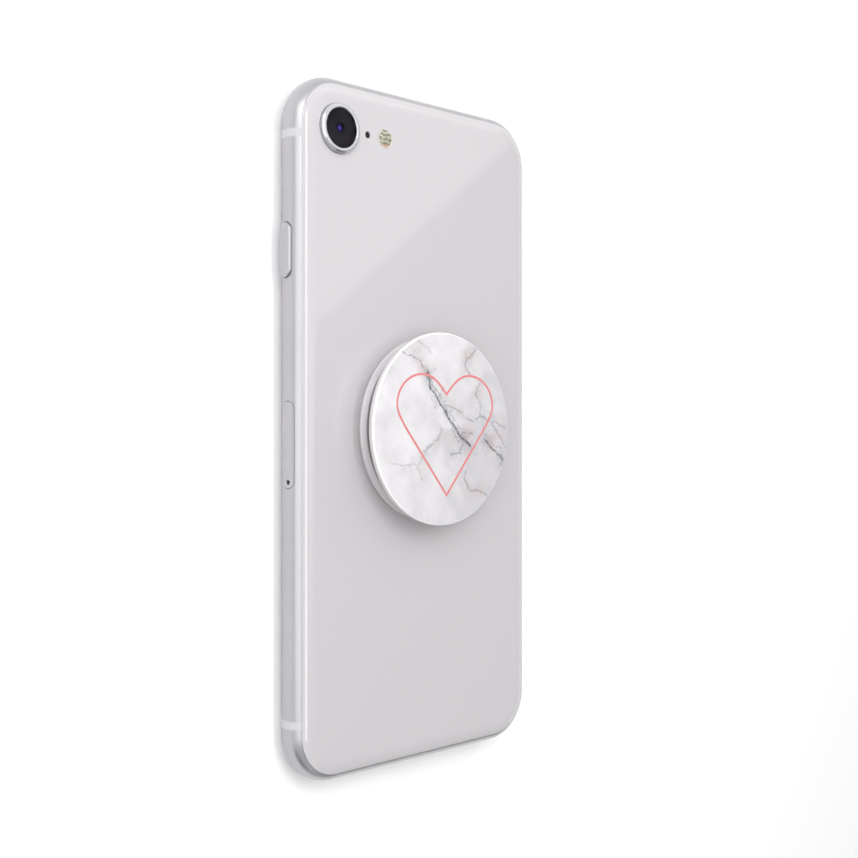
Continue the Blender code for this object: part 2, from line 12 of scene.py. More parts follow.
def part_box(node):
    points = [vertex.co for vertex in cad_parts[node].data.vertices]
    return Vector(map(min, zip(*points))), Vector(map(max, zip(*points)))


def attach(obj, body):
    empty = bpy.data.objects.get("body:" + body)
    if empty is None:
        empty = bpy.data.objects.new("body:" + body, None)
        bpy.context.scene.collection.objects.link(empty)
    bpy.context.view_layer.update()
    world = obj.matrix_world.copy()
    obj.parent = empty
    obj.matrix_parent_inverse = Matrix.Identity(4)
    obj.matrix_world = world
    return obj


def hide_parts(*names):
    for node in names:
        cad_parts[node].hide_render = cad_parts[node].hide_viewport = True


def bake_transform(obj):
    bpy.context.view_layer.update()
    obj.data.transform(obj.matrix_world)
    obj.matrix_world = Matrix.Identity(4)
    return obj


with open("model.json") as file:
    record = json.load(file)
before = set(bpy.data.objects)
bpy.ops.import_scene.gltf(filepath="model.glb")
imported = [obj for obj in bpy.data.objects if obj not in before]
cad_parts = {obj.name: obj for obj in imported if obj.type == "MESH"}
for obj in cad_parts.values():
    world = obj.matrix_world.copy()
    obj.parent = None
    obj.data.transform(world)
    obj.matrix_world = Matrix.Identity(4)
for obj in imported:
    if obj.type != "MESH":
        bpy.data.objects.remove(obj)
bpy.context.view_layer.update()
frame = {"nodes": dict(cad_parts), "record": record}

MM = 0.001
NEAR = 1e-4               # millimetres within which two heights or points are the same


def corners(node):
    """A CAD node's lowest and highest corner, in millimetres."""
    low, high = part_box(node)
    return low / MM, high / MM


# Housing, from the frame
BAND_LOW, BAND_HIGH = corners("frame_band")
HALF_WIDTH, HALF_LENGTH = BAND_HIGH.x, BAND_HIGH.y
FRONT_Z = corners("front_glass")[0].z
BACK_Z = corners("back_glass")[1].z
MID_Z = (FRONT_Z + BACK_Z) / 2
HALF_THICKNESS = (BACK_Z - FRONT_Z) / 2
FRONT_SEAM = (corners("front_glass")[1].z, BAND_LOW.z)
BACK_SEAM = (BAND_HIGH.z, corners("back_glass")[0].z)
INNER_WALL_INSET = 2.45
PLAN_CORNER_RADIUS = 10.3
EDGE_RUN = 4.6            # how far in the rounded edge reaches
EDGE_POWER = 2.3          # 2 is an ellipse, and more is squarer
SEAM_CHAMFER = 0.1
BEAD_INSETS = (0.16, 0.75)  # the sealing bead's outer and inner face, in from the outside
BEAD_LAP = 0.12
GLASS_HOLE_FLARE = 0.06

# Camera, microphone and flash
RING_LOW, RING_HIGH = corners("camera_bezel_ring")
CAMERA_AT = Vector(((RING_LOW.x + RING_HIGH.x) / 2, (RING_LOW.y + RING_HIGH.y) / 2, 0))
CAMERA_RING_RADIUS = (RING_HIGH.x - RING_LOW.x) / 2
CAMERA_TOP = RING_HIGH.z
WINDOW_RADIUS = 3.88
FLASH_LOW, FLASH_HIGH = corners("flash_lens")
FLASH_AT = Vector(((FLASH_LOW.x + FLASH_HIGH.x) / 2, (FLASH_LOW.y + FLASH_HIGH.y) / 2, 0))
FLASH_RADIUS = (FLASH_HIGH.x - FLASH_LOW.x) / 2
REAR_MIC_AT = Vector((sum(c.x for c in corners("rear_microphone")) / 2, CAMERA_AT.y, 0))
REAR_MIC_HOLE_RADIUS = 0.68
REAR_MIC_MESH_Z = (6.88, 6.98)
FLASH_RIBS, FLASH_RIB_PITCH = 5, 0.3
FLASH_RIM_LOW = 6.7
MASK_APERTURE = 1.2
BARREL_FLOOR_Z, BARREL_BORE, BARREL_MOUTH, BARREL_EDGE = 6.35, 1.75, 2.6, 3.25
BARREL_RINGS, BARREL_RING_STEP = 4, 0.18
LENS_RADIUS, LENS_RISE = 1.6, 0.5
# The lens's painted glint, and how far from it the painted bloom and the painted glint fade and are full
PAINTED_GLINT_AT = (CAMERA_AT.x - 0.1, CAMERA_AT.y + 0.05, 7.5)
PAINTED_BLOOM_REACH = (0.62, 0.2)
PAINTED_GLINT_REACH = (0.2, 0.08)

# Edge openings
KEYS = {                  # each key's body, and its side: right (1) or left (-1)
    "side_button": ("side_key", -1),
    "volume_up_button": ("volume_up_key", 1),
    "volume_down_button": ("volume_down_key", 1),
}
SIDE_CUT = (HALF_WIDTH - 4.5, HALF_WIDTH + 1.5)   # from where to where a cutter runs
END_CUT = (HALF_LENGTH - 4, HALF_LENGTH + 1)
KEY_GAP = 0.08
SLOT_FLARE = 0.1
PORT_SIZE = (8.35, 2.7)
PORT_DEPTH = 6.9
PORT_FLARE = 0.25
PORT_CONTACTS, PORT_CONTACT_PITCH = 8, 0.8
SCREW_X = corners("bottom_screw_right")[1].x - 0.78
SCREW_RADIUS, SCREW_SHANK_RADIUS, SCREW_SUNK = 0.78, 0.55, 0.12
SCREW_LOBES, SCREW_LOBE_CIRCLE = 5, 0.27
GRILLE_FIRST_X, GRILLE_PITCH, GRILLE_COUNT = 11.0, 2.3, 6
GRILLE_HOLE_RADIUS = 0.75
TRAY_LOW, TRAY_HIGH = corners("sim_tray")
TRAY_PINHOLE_Y, TRAY_PINHOLE_RADIUS = -10.25, 0.45
TRAY_HEAD_DEPTH = 1.25
TRAY_LEAF_LENGTH, TRAY_LEAF_HALF = 13.8, 0.4
CARD_PAD_SIZE, CARD_PAD_PITCH = (2.3, 2.1), (1.3, 2.4)
ANTENNA_DEPTH = 0.55

# Front
HOME_LOW, HOME_HIGH = corners("home_button_ring")
HOME_AT = Vector((0, (HOME_LOW.y + HOME_HIGH.y) / 2, 0))
HOME_RADIUS = (HOME_HIGH.y - HOME_LOW.y) / 2
SLOT_LOW, SLOT_HIGH = corners("earpiece_mesh")
EARPIECE_AT = Vector((0, (SLOT_LOW.y + SLOT_HIGH.y) / 2, 0))
EARPIECE_SLOT = (10.2, 1.3)
DISPLAY_HALF = (29.25, 52.1)
FRONT_CAMERA_X = sum(c.x for c in corners("front_camera_module")) / 2
FRONT_CAMERA_HOLE_RADIUS = 1.4

# Grip
DISC_LOW, DISC_HIGH = corners("grip_top_disc")
DISC_RADIUS, DISC_TOP = DISC_HIGH.x, DISC_HIGH.z
BASE_LOW, BASE_HIGH = corners("grip_base_plate")
PAD_LOW, PAD_HIGH = corners("grip_adhesive_pad")
PLATE_LOW, PLATE_HIGH = corners("grip_top_plate")
DISC_BEVEL = 0.26
DISC_SOCKET_Z = 12.45
HUB_RADIUS = 6.5
PLATE_TOP = 11.7
BASE_WELL_RADIUS, BASE_FLOOR = 17.3, 0.45
SLEEVE_RIBS = [(16.8, 8.75), (14.3, 9.15), (16.0, 9.55), (13.0, 9.95), (14.6, 10.35), (11.8, 10.75)]
SLEEVE_WALL = 0.7
HEART_MIDDLE_X, HEART_STEPS = 0.7, 14
HEART_LINE_WIDTH, HEART_THICKNESS = 0.48, 0.03

ROUND_STEPS = 128
WAVE_LENGTH = 0.314       # a wave texture's period in millimetres at a scale of 1
FLOOR_HALF = 3            # metres


# Mesh work ------------------------------------------------------------------------


def bevel(bm, edges, offset, segments, profile=0.5):
    """Rounds or chamfers edges, with round corners at a profile of 0.5."""
    bmesh.ops.bevel(bm, geom=edges, offset=offset, offset_type="OFFSET", segments=segments,
                    profile=profile, affect="EDGES", material=-1, clamp_overlap=False)


def flat_edges(bm, z):
    """The edges that lie in the plane of that height."""
    return [e for e in bm.edges if all(abs(v.co.z - z) < NEAR for v in e.verts)]


def cut_level(bm, z, outward=1, clear=False):
    """Cuts every face at a height, and may clear what lies beyond it."""
    bmesh.ops.bisect_plane(bm, geom=bm.verts[:] + bm.edges[:] + bm.faces[:], dist=1e-6,
                           plane_co=(0, 0, z), plane_no=(0, 0, outward), clear_outer=clear)


def keep_between(bm, low, high):
    """Keeps what lies between two heights, and caps the cut ends."""
    cut_level(bm, low, -1, clear=True)
    cut_level(bm, high, 1, clear=True)
    bmesh.ops.holes_fill(bm, edges=[e for e in bm.edges if e.is_boundary], sides=0)
    return bm


def block(size, low, high, radius=0.0, steps=6, chamfer=0.0, chamfer_steps=3, middle=(0, 0)):
    """An upright block of size (x, y), with rounded corners and rims."""
    bm = bmesh.new()
    bmesh.ops.create_cube(bm, size=1)
    bmesh.ops.scale(bm, vec=(*size, high - low), verts=bm.verts)
    bmesh.ops.translate(bm, vec=(*middle, (low + high) / 2), verts=bm.verts)
    if radius:
        uprights = [e for e in bm.edges if abs(e.verts[0].co.z - e.verts[1].co.z) > NEAR]
        bevel(bm, uprights, min(radius, min(size) / 2 - 1e-3), steps)
    if chamfer:
        bevel(bm, flat_edges(bm, low) + flat_edges(bm, high), chamfer, chamfer_steps)
    return bm


def flared(bm, mouth, top):
    """Widens an upright cutter evenly above its mouth, which leaves a chamfer there."""
    cut_level(bm, mouth)
    rims = [v for v in bm.verts if v.co.z > top - NEAR]
    half = [max(abs(v.co[axis]) for v in rims) for axis in (0, 1)]
    for vert in rims:
        for axis in (0, 1):
            vert.co[axis] += vert.co[axis] / half[axis] * (top - mouth)
    return bm


def bar(radius, low, high, steps=24, middle=(0, 0)):
    """An upright round bar."""
    bm = bmesh.new()
    bmesh.ops.create_cone(bm, cap_ends=True, segments=steps, radius1=radius, radius2=radius,
                          depth=high - low)
    bmesh.ops.translate(bm, vec=(*middle, (low + high) / 2), verts=bm.verts)
    return bm


def turned(profile, steps=ROUND_STEPS, at=(0, 0, 0)):
    """A profile of (radius, z) spun round Z. One that stays off the axis closes on itself."""
    bm = bmesh.new()
    verts = [bm.verts.new((radius, 0, z)) for radius, z in profile]
    edges = [bm.edges.new(pair) for pair in zip(verts, verts[1:])]
    if profile[0][0] > 0:
        edges.append(bm.edges.new((verts[-1], verts[0])))
    bmesh.ops.spin(bm, geom=verts + edges, cent=(0, 0, 0), axis=(0, 0, 1), angle=math.tau,
                   steps=steps, use_merge=True)
    bmesh.ops.remove_doubles(bm, verts=bm.verts, dist=NEAR)
    bmesh.ops.translate(bm, vec=at, verts=bm.verts)
    return face_outward(bm)


def softened(points, radius, steps=5):
    """A profile whose inner points are rounded. Ends stay, and short legs limit the radius."""
    result = [points[0]]
    for before, here, after in zip(points, points[1:], points[2:]):
        here_v = Vector(here)
        legs = [Vector(before) - here_v, Vector(after) - here_v]
        turn = legs[0].angle(legs[1])
        reach = min(radius / math.tan(turn / 2), 0.45 * legs[0].length, 0.45 * legs[1].length)
        start, end = (here_v + leg.normalized() * reach for leg in legs)
        for step in range(steps + 1):
            t = step / steps
            result.append(tuple((1 - t) ** 2 * start + 2 * t * (1 - t) * here_v + t ** 2 * end))
    return result + [points[-1]]


def turn_to(bm, direction):
    """Turns an upright shape to run along +X, -X or -Y, its local X towards the front."""
    turns = {
        "+X": Matrix.Rotation(math.radians(90), 3, "Y"),
        "-X": Matrix.Rotation(math.radians(-90), 3, "Y"),
        "-Y": Matrix.Rotation(math.radians(90), 3, "X"),
    }
    bmesh.ops.rotate(bm, cent=(0, 0, 0), matrix=turns[direction], verts=bm.verts)
    return bm


def moved(bm, x=0.0, y=0.0, z=0.0):
    """Shifts a shape, and gives it back."""
    bmesh.ops.translate(bm, vec=(x, y, z), verts=bm.verts)
    return bm


def face_outward(bm):
    """Turns every face of a closed shape outward."""
    bmesh.ops.recalc_face_normals(bm, faces=bm.faces)
    if bm.calc_volume(signed=True) < 0:
        bmesh.ops.reverse_faces(bm, faces=bm.faces)
    return bm


def carved(bm, *cutters, operation="DIFFERENCE", solver="EXACT"):
    """Cuts closed shapes from a closed shape, or joins or intersects them. The fast solver
    suits a thin shell under a wide flat cap, which the exact one turns inside out."""
    shapes = []
    for shape in (bm, *cutters):
        mesh = bpy.data.meshes.new("carving")
        face_outward(shape).to_mesh(mesh)
        shape.free()
        carving = bpy.data.objects.new("carving", mesh)
        bpy.context.scene.collection.objects.link(carving)
        shapes.append(carving)
    for cutter in shapes[1:]:
        boolean = shapes[0].modifiers.new("cut", "BOOLEAN")
        boolean.solver = solver
        boolean.operation = operation
        boolean.object = cutter
    result = bmesh.new()
    result.from_object(shapes[0], bpy.context.evaluated_depsgraph_get())
    for shape in shapes:
        bpy.data.meshes.remove(shape.data)
    return result


def joined(*shapes):
    """Several shapes as the loose parts of one mesh."""
    result = bmesh.new()
    for shape in shapes:
        mesh = bpy.data.meshes.new("joining")
        shape.to_mesh(mesh)
        shape.free()
        result.from_mesh(mesh)
        bpy.data.meshes.remove(mesh)
    return result


def rounded_side_normal(point):
    """The outward normal of the phone's rounded outside, at a point in millimetres."""
    over_x = abs(point.x) - (HALF_WIDTH - PLAN_CORNER_RADIUS)
    over_y = abs(point.y) - (HALF_LENGTH - PLAN_CORNER_RADIUS)
    plan = Vector((max(over_x, 0), max(over_y, 0)))
    reach = plan.length
    if reach < 1e-6:
        return Vector((0, 0, math.copysign(1, point.z - MID_Z)))
    plan /= reach
    across = max(reach - (PLAN_CORNER_RADIUS - EDGE_RUN), 0) / EDGE_RUN
    rise = min(abs(point.z - MID_Z) / HALF_THICKNESS, 1)
    outward = across ** (EDGE_POWER - 1) / EDGE_RUN
    upward = rise ** (EDGE_POWER - 1) / HALF_THICKNESS
    normal = (math.copysign(plan.x, point.x) * outward, math.copysign(plan.y, point.y) * outward,
              math.copysign(upward, point.z - MID_Z))
    return Vector(normal).normalized()


def set_housing_normals(mesh, most_turn=9):
    """Shades faces on the phone's outside with the true curve, and other faces flat."""
    limit = math.cos(math.radians(most_turn))
    normals = []
    for face in mesh.polygons:
        for vert in face.vertices:
            smooth = rounded_side_normal(mesh.vertices[vert].co / MM)
            normals.append(smooth if smooth.dot(face.normal) > limit else face.normal.copy())
    mesh.normals_split_custom_set(normals)


def place(bm, name, finish, stands_for=(), body="phone", slot=None, sharp=32, housing=False,
          ride=True):
    """Turns a shape in millimetres into a finished piece that rides on a body."""
    bmesh.ops.scale(bm, vec=(MM, MM, MM), verts=bm.verts)
    mesh = bpy.data.meshes.new(name)
    bm.to_mesh(mesh)
    bm.free()
    finishes = finish if isinstance(finish, (list, tuple)) else [finish]
    for material in finishes:
        mesh.materials.append(material)
    mesh.shade_smooth()
    if housing:
        set_housing_normals(mesh)
    else:
        mesh.set_sharp_from_angle(angle=math.radians(sharp))
    piece = bpy.data.objects.new(name, mesh)
    bpy.context.scene.collection.objects.link(piece)
    if ride:
        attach(piece, body)
    nodes = [stands_for] if isinstance(stands_for, str) else list(stands_for)
    if nodes:
        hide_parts(*nodes)
    if slot is None:
        subparts = frame["record"]["subparts"]
        slot = next(part["material_slot"] for part in subparts if part["node"] == nodes[0])
    return piece


# Material work --------------------------------------------------------------------


def linear(colour):
    """An sRGB hex colour as linear RGBA."""
    channels = [int(colour[i:i + 2], 16) / 255 for i in (0, 2, 4)]
    return (*(c / 12.92 if c <= 0.04045 else ((c + 0.055) / 1.055) ** 2.4 for c in channels), 1.0)


def add(tree, kind, inputs=None, out=0, **settings):
    """Adds a node with its settings, its values and its links, and gives one output."""
    node = tree.nodes.new("ShaderNode" + kind)
    for name, value in settings.items():
        setattr(node, name, value)
    for socket, value in (inputs or {}).items():
        if isinstance(value, bpy.types.NodeSocket):
            tree.links.new(value, node.inputs[socket])
        else:
            node.inputs[socket].default_value = value
    return node.outputs[out]


def number(tree, operation, *values, **settings):
    """One step of arithmetic on numbers."""
    return add(tree, "Math", dict(enumerate(values)), operation=operation, **settings)


def vector(tree, operation, first, second):
    """One step of arithmetic on vectors. SCALE takes a number second."""
    socket = "Scale" if operation == "SCALE" else 1
    out = "Value" if operation in ("DISTANCE", "DOT_PRODUCT") else 0
    return add(tree, "VectorMath", {0: first, socket: second}, out, operation=operation)


def mixed(tree, factor, first, second):
    """A colour between two, each given as hex or as a socket."""
    ends = [linear(end) if isinstance(end, str) else end for end in (first, second)]
    return add(tree, "Mix", {"Factor": factor, 6: ends[0], 7: ends[1]}, out=2, data_type="RGBA")


def most_or_least(tree, operation, values):
    """The MAXIMUM or MINIMUM of several numbers."""
    result = values[0]
    for value in values[1:]:
        result = number(tree, operation, result, value)
    return result


def start_finish(name, colour, roughness, metallic=0.0, **sockets):
    """A material with its even values on the shader, and Object coordinates in millimetres."""
    material = bpy.data.materials.new(name)
    material.use_nodes = True
    tree = material.node_tree
    shader = tree.nodes["Principled BSDF"]
    shader.inputs["Base Color"].default_value = linear(colour)
    shader.inputs["Roughness"].default_value = roughness
    shader.inputs["Metallic"].default_value = metallic
    for socket, value in sockets.items():
        shader.inputs[socket.replace("_", " ")].default_value = value
    mm = vector(tree, "SCALE", add(tree, "TexCoord", out="Object"), 1 / MM)
    return material, tree, shader, mm


def cloud(tree, where, size, detail=3.0, roughness=0.55, warp=0.0):
    """Soft noise whose lumps measure about size millimetres."""
    return add(tree, "TexNoise", {"Vector": where, "Scale": 1 / size, "Detail": detail,
                                  "Roughness": roughness, "Distortion": warp}, out="Fac")


def spread(tree, value, low, high, to_low=0.0, to_high=1.0):
    """Stretches low..high of a value onto to_low..to_high, and clamps it."""
    return add(tree, "MapRange", {"Value": value, "From Min": low, "From Max": high,
                                  "To Min": to_low, "To Max": to_high})


def shade_between(tree, shader, factor, first, second):
    """Colours the shader between two colours."""
    tree.links.new(mixed(tree, factor, first, second), shader.inputs["Base Color"])


def gloss_between(tree, shader, factor, low, high):
    """Lets the roughness drift between two values where the noise drifts."""
    tree.links.new(spread(tree, factor, 0.35, 0.65, low, high), shader.inputs["Roughness"])


def relief(tree, shader, height, depth_mm):
    """Bumps the surface by a height of 0..1 times a depth."""
    bumped = add(tree, "Bump", {"Height": height, "Distance": depth_mm * MM, "Strength": 1.0})
    tree.links.new(bumped, shader.inputs["Normal"])


def grained_finish(name, colours, roughnesses, size, detail=3.0, warp=0.0, depth=None, **settings):
    """A material whose colour, gloss and relief follow one noise. Colours and roughnesses are
    (even, low, high), and size and depth are in millimetres."""
    material, tree, shader, mm = start_finish(name, colours[0], roughnesses[0], **settings)
    grain = cloud(tree, mm, size, detail, warp=warp)
    shade_between(tree, shader, grain, *colours[1:])
    gloss_between(tree, shader, grain, *roughnesses[1:])
    if depth is not None:
        relief(tree, shader, grain, depth)
    return material


def bead_blasted_aluminium():
    """Aluminium alloy, bead-blasted and anodised clear: a satin grey metal whose fine pits
    spread the highlight, a little uneven along its length."""
    material, tree, shader, mm = start_finish("bead_blasted_aluminium", "b5b4b7", 0.33, 1.0)
    shade_between(tree, shader, cloud(tree, mm, 14.0, 2.0), "b2b1b4", "b8b7ba")
    # Real pits measure about 0.05 mm, and they are drawn three times as coarse to show.
    pits = cloud(tree, mm, 0.15, 2.0)
    gloss_between(tree, shader, pits, 0.29, 0.38)
    relief(tree, shader, pits, 0.004)
    return material


def moulded_antenna_polymer():
    """Glass-filled nylon moulded into the frame and milled level with it: matt and paler."""
    return grained_finish("moulded_antenna_polymer", ("bebec0", "b9b9bb", "c4c4c6"),
                          (0.42, 0.36, 0.5), 0.3, warp=0.5, depth=0.003, IOR=1.53)


def back_painted_glass():
    """Strengthened glass over white ink: a hard clear gloss on a faintly lilac grey-white,
    with the film of a hand on it that dulls the gloss in broad patches."""
    material, tree, shader, mm = start_finish("back_painted_glass", "c4c1c4", 0.05, IOR=1.51)
    shade_between(tree, shader, cloud(tree, mm, 38.0, 2.0), "c3c0c3", "c5c2c5")
    film = cloud(tree, mm, 9.0, 5.0, 0.6, warp=0.8)
    gloss_between(tree, shader, film, 0.02, 0.06)
    # Ink laid by screen leaves an orange-peel of about 1.5 mm under the gloss.
    relief(tree, shader, cloud(tree, mm, 1.5, 2.0), 0.0006)
    return material


def screen_glass():
    """The same glass over a white printed border, with a clear window onto the dark panel
    and a hole in the print for the front camera."""
    material, tree, shader, mm = start_finish("screen_glass", "cac7ca", 0.05, IOR=1.51)
    inside = []
    for axis, half in zip("XY", DISPLAY_HALF):
        away = number(tree, "ABSOLUTE", add(tree, "SeparateXYZ", {0: mm}, out=axis))
        inside.append(number(tree, "LESS_THAN", away, half))
    window = number(tree, "MULTIPLY", *inside)
    off_camera = vector(tree, "DISTANCE", mm, (FRONT_CAMERA_X, EARPIECE_AT.y, FRONT_Z))
    camera_hole = number(tree, "LESS_THAN", off_camera, FRONT_CAMERA_HOLE_RADIUS)
    dark = number(tree, "MAXIMUM", window, camera_hole)
    shade_between(tree, shader, dark, "cac7ca", "07080b")
    film = cloud(tree, mm, 11.0, 5.0, 0.6, warp=0.8)
    gloss_between(tree, shader, film, 0.04, 0.12)
    return material


def polished_aluminium():
    """Aluminium ring cut on a lathe with a diamond tip and left bright, with the slight
    unevenness of handling in its shine."""
    material, tree, shader, mm = start_finish("polished_aluminium", "c8c8cc", 0.2, 1.0)
    marks = cloud(tree, mm, 0.4, 4.0)
    shade_between(tree, shader, marks, "c2c2c6", "cdcdd1")
    gloss_between(tree, shader, marks, 0.16, 0.26)
    relief(tree, shader, cloud(tree, mm, 0.12, 2.0), 0.002)
    return material


def coated_sapphire():
    """Sapphire window with an anti-reflection coating: clear, hard and nearly without glare.
    Its index is set to what the coated surface reflects, and not to bare sapphire's 1.77."""
    return grained_finish("coated_sapphire", ("f4f4f8", "f0f0f6", "f8f8fb"), (0.0, 0.0, 0.02),
                          3.0, 4.0, 0.6, IOR=1.1, Transmission_Weight=1.0)


def camera_black():
    """Black anodised lens barrel and printed mask, threaded and matt to swallow stray light."""
    return grained_finish("camera_black", ("17131a", "151118", "1b161e"), (0.5, 0.42, 0.6),
                          0.12, depth=0.003, Specular_IOR_Level=0.15)


def coated_lens():
    """Front lens element over the dark barrel, its coating tinting reflections violet. A small violet
    glint near the middle and a faint blue bloom round it are painted highlights in its colour."""
    material, tree, shader, mm = start_finish("coated_lens", "0a0810", 0.08, IOR=1.6,
                                              Specular_IOR_Level=0.12,
                                              Specular_Tint=linear("7a5cff"))
    # The glint and the bloom round it are painted highlights at a fixed spot, not reflections of a lamp.
    off_painted_glint = vector(tree, "DISTANCE", mm, PAINTED_GLINT_AT)
    bloom = mixed(tree, spread(tree, off_painted_glint, *PAINTED_BLOOM_REACH), "17131a", "35279a")
    shade_between(tree, shader, spread(tree, off_painted_glint, *PAINTED_GLINT_REACH), bloom, "8f7dff")
    gloss_between(tree, shader, cloud(tree, mm, 0.8), 0.06, 0.12)
    return material


def flash_phosphor():
    """Ribbed clear diffuser over two phosphor dies: one cool yellow, one amber. The ribs and the dies
    below show as bands of olive and cream, and small near-white spots on them are painted glints."""
    material, tree, shader, mm = start_finish("flash_phosphor", "b8b48c", 0.12, IOR=1.5,
                                              Coat_Weight=1.0, Coat_Roughness=0.04)
    centred = vector(tree, "SUBTRACT", mm, tuple(FLASH_AT))
    bands = add(tree, "TexWave", {"Vector": centred, "Scale": 0.36, "Distortion": 5.0, "Detail": 3.0,
                                  "Detail Scale": 2.2}, out="Fac", bands_direction="Y")
    # Voronoi cells give the facet relief, and the near-white spots at their middles are painted glints.
    facets_and_painted_glints = add(tree, "TexVoronoi", {"Vector": centred, "Scale": 1.5}, out="Distance")
    olive = mixed(tree, spread(tree, bands, 0.2, 0.9), "747360", "b3b199")
    with_painted_glints = mixed(tree, spread(tree, facets_and_painted_glints, 0.26, 0.1), olive, "f4f3e8")
    amber_end = spread(tree, add(tree, "SeparateXYZ", {0: centred}, out="Y"), -1.0, -1.4)
    shade_between(tree, shader, amber_end, with_painted_glints, "b8957f")
    relief(tree, shader, facets_and_painted_glints, 0.05)
    return material


def clear_diffuser_rim():
    """Moulded rim of the flash lens, milky where it is bonded into the glass."""
    return grained_finish("clear_diffuser_rim", ("ecebe6", "e3e2dc", "f4f3ef"), (0.2, 0.15, 0.3),
                          0.5, IOR=1.5)


def nickel_plated_steel():
    """Stamped sheet steel, dull nickel plate: a warm grey metal with rolling lines."""
    material, tree, shader, mm = start_finish("nickel_plated_steel", "b4b4b2", 0.34, 1.0)
    rolled = vector(tree, "MULTIPLY", mm, (1.0, 0.06, 1.0))
    lines = cloud(tree, rolled, 0.25, 4.0)
    shade_between(tree, shader, lines, "a7a7a4", "bfbfbd")
    gloss_between(tree, shader, lines, 0.28, 0.42)
    relief(tree, shader, lines, 0.002)
    return material


def cut_screw_steel():
    """Stainless screw head, turned and passivated: grey with a fine uneven shine."""
    return grained_finish("cut_screw_steel", ("bcbcc0", "adadb1", "cacace"), (0.28, 0.22, 0.38),
                          0.1, depth=0.002, metallic=1.0)


def black_mesh_cloth():
    """Woven acoustic mesh behind a hole, black. Threads are 0.1 mm apart, and they are drawn
    at 0.25 mm to show."""
    material, tree, shader, mm = start_finish("black_mesh_cloth", "1d1d1f", 0.6,
                                              Specular_IOR_Level=0.3)
    slanted = add(tree, "Mapping", {"Vector": mm, "Rotation": (0.0, 0.0, math.radians(45))})
    cells = add(tree, "TexBrick", {"Vector": slanted, "Scale": 1.0, "Brick Width": 0.25,
                                   "Row Height": 0.25, "Mortar Size": 0.07, "Mortar Smooth": 0.6},
                out="Fac", offset=0.0)
    shade_between(tree, shader, cells, "060607", "232325")
    relief(tree, shader, cells, 0.04)
    return material


def black_elastomer():
    """Silicone and glass-filled nylon parts inside, black and matt with a moulded grain."""
    return grained_finish("black_elastomer", ("19191b", "151517", "222225"), (0.65, 0.55, 0.75),
                          0.4, 4.0, depth=0.01)


def seam_gasket():
    """Translucent white adhesive bead that seals the glass to the frame."""
    return grained_finish("seam_gasket", ("bdbbbe", "b7b5b8", "c4c2c5"), (0.45, 0.4, 0.55),
                          1.2, IOR=1.45)


def gold_contacts():
    """Hard gold over nickel on sprung contacts, wiped bright where the plug rubs."""
    return grained_finish("gold_contacts", ("d9b25c", "cda24a", "e4c274"), (0.22, 0.16, 0.32),
                          0.5, metallic=1.0)


def card_plastic():
    """Die-cut card stock, off-white ABS with a faint moulded speckle."""
    return grained_finish("card_plastic", ("e8e6df", "e2e0d8", "efede7"), (0.4, 0.34, 0.48),
                          0.3, 4.0, depth=0.004, IOR=1.53)


def lcd_panel():
    """Switched-off panel: dark polariser over a fine stripe mask, 0.08 mm a stripe, drawn
    at 0.3 mm to show."""
    material, tree, shader, mm = start_finish("lcd_panel", "0a0b0f", 0.18)
    stripes = add(tree, "TexWave", {"Vector": mm, "Scale": WAVE_LENGTH / 0.3}, out="Fac")
    shade_between(tree, shader, stripes, "08090c", "0f1117")
    gloss_between(tree, shader, cloud(tree, mm, 6.0), 0.14, 0.24)
    return material


def pouch_film():
    """Aluminium-laminate cell pouch in black film, faintly rippled and satin."""
    return grained_finish("pouch_film", ("202125", "1b1c1f", "27282c"), (0.42, 0.36, 0.5),
                          5.0, depth=0.05)


def solder_mask():
    """Fibreglass board under dark green mask. Traces stand up slightly, 0.5 mm apart."""
    material, tree, shader, mm = start_finish("solder_mask", "17352a", 0.35, IOR=1.5)
    traces = add(tree, "TexBrick", {"Vector": mm, "Scale": 1.0, "Brick Width": 2.6,
                                    "Row Height": 0.5, "Mortar Size": 0.08}, out="Fac")
    shade_between(tree, shader, traces, "16352a", "2b5a46")
    gloss_between(tree, shader, cloud(tree, mm, 1.0), 0.3, 0.45)
    relief(tree, shader, traces, 0.02)
    return material


def lacquered_copper_coil():
    """Flat spiral of lacquered copper wire, 0.6 mm a turn."""
    material, tree, shader, mm = start_finish("lacquered_copper_coil", "b06a3a", 0.25, 1.0)
    turns = add(tree, "TexWave", {"Vector": mm, "Scale": WAVE_LENGTH / 0.6}, out="Fac",
                wave_type="RINGS", rings_direction="Z")
    shade_between(tree, shader, turns, "6f3a1c", "c47a45")
    gloss_between(tree, shader, cloud(tree, mm, 2.0), 0.2, 0.34)
    relief(tree, shader, turns, 0.08)
    return material


def foam_tape():
    """Closed-cell acrylic foam tape, grey-white, with 0.3 mm cells on its cut edge."""
    material, tree, shader, mm = start_finish("foam_tape", "b9b7b9", 0.85)
    cells = add(tree, "TexVoronoi", {"Vector": mm, "Scale": 1 / 0.3}, out="Distance")
    shade_between(tree, shader, cells, "aba9ab", "c7c5c7")
    gloss_between(tree, shader, cells, 0.8, 0.9)
    relief(tree, shader, cells, 0.05)
    return material


def moulded_polycarbonate():
    """White polycarbonate from a polished mould: even, glossy, with faint flow lines."""
    material, tree, shader, mm = start_finish("moulded_polycarbonate", "d0cdd0", 0.2, IOR=1.585)
    flow = cloud(tree, mm, 6.0, 3.0, warp=1.2)
    shade_between(tree, shader, flow, "cdcacd", "d3d0d3")
    gloss_between(tree, shader, flow, 0.16, 0.28)
    relief(tree, shader, cloud(tree, mm, 0.5, 2.0), 0.003)
    return material


def painted_highlight_rim():
    """Bevel of the disc's rim in a whiter, glossier copy of the white plastic below, under a clear coat.
    Its extra whiteness is a painted highlight that holds a bright line round the edge."""
    return grained_finish("painted_highlight_rim", ("eeecee", "ebe9eb", "f1eff1"), (0.1, 0.08, 0.16),
                          2.0, IOR=1.5, Coat_Weight=1.0, Coat_Roughness=0.03)


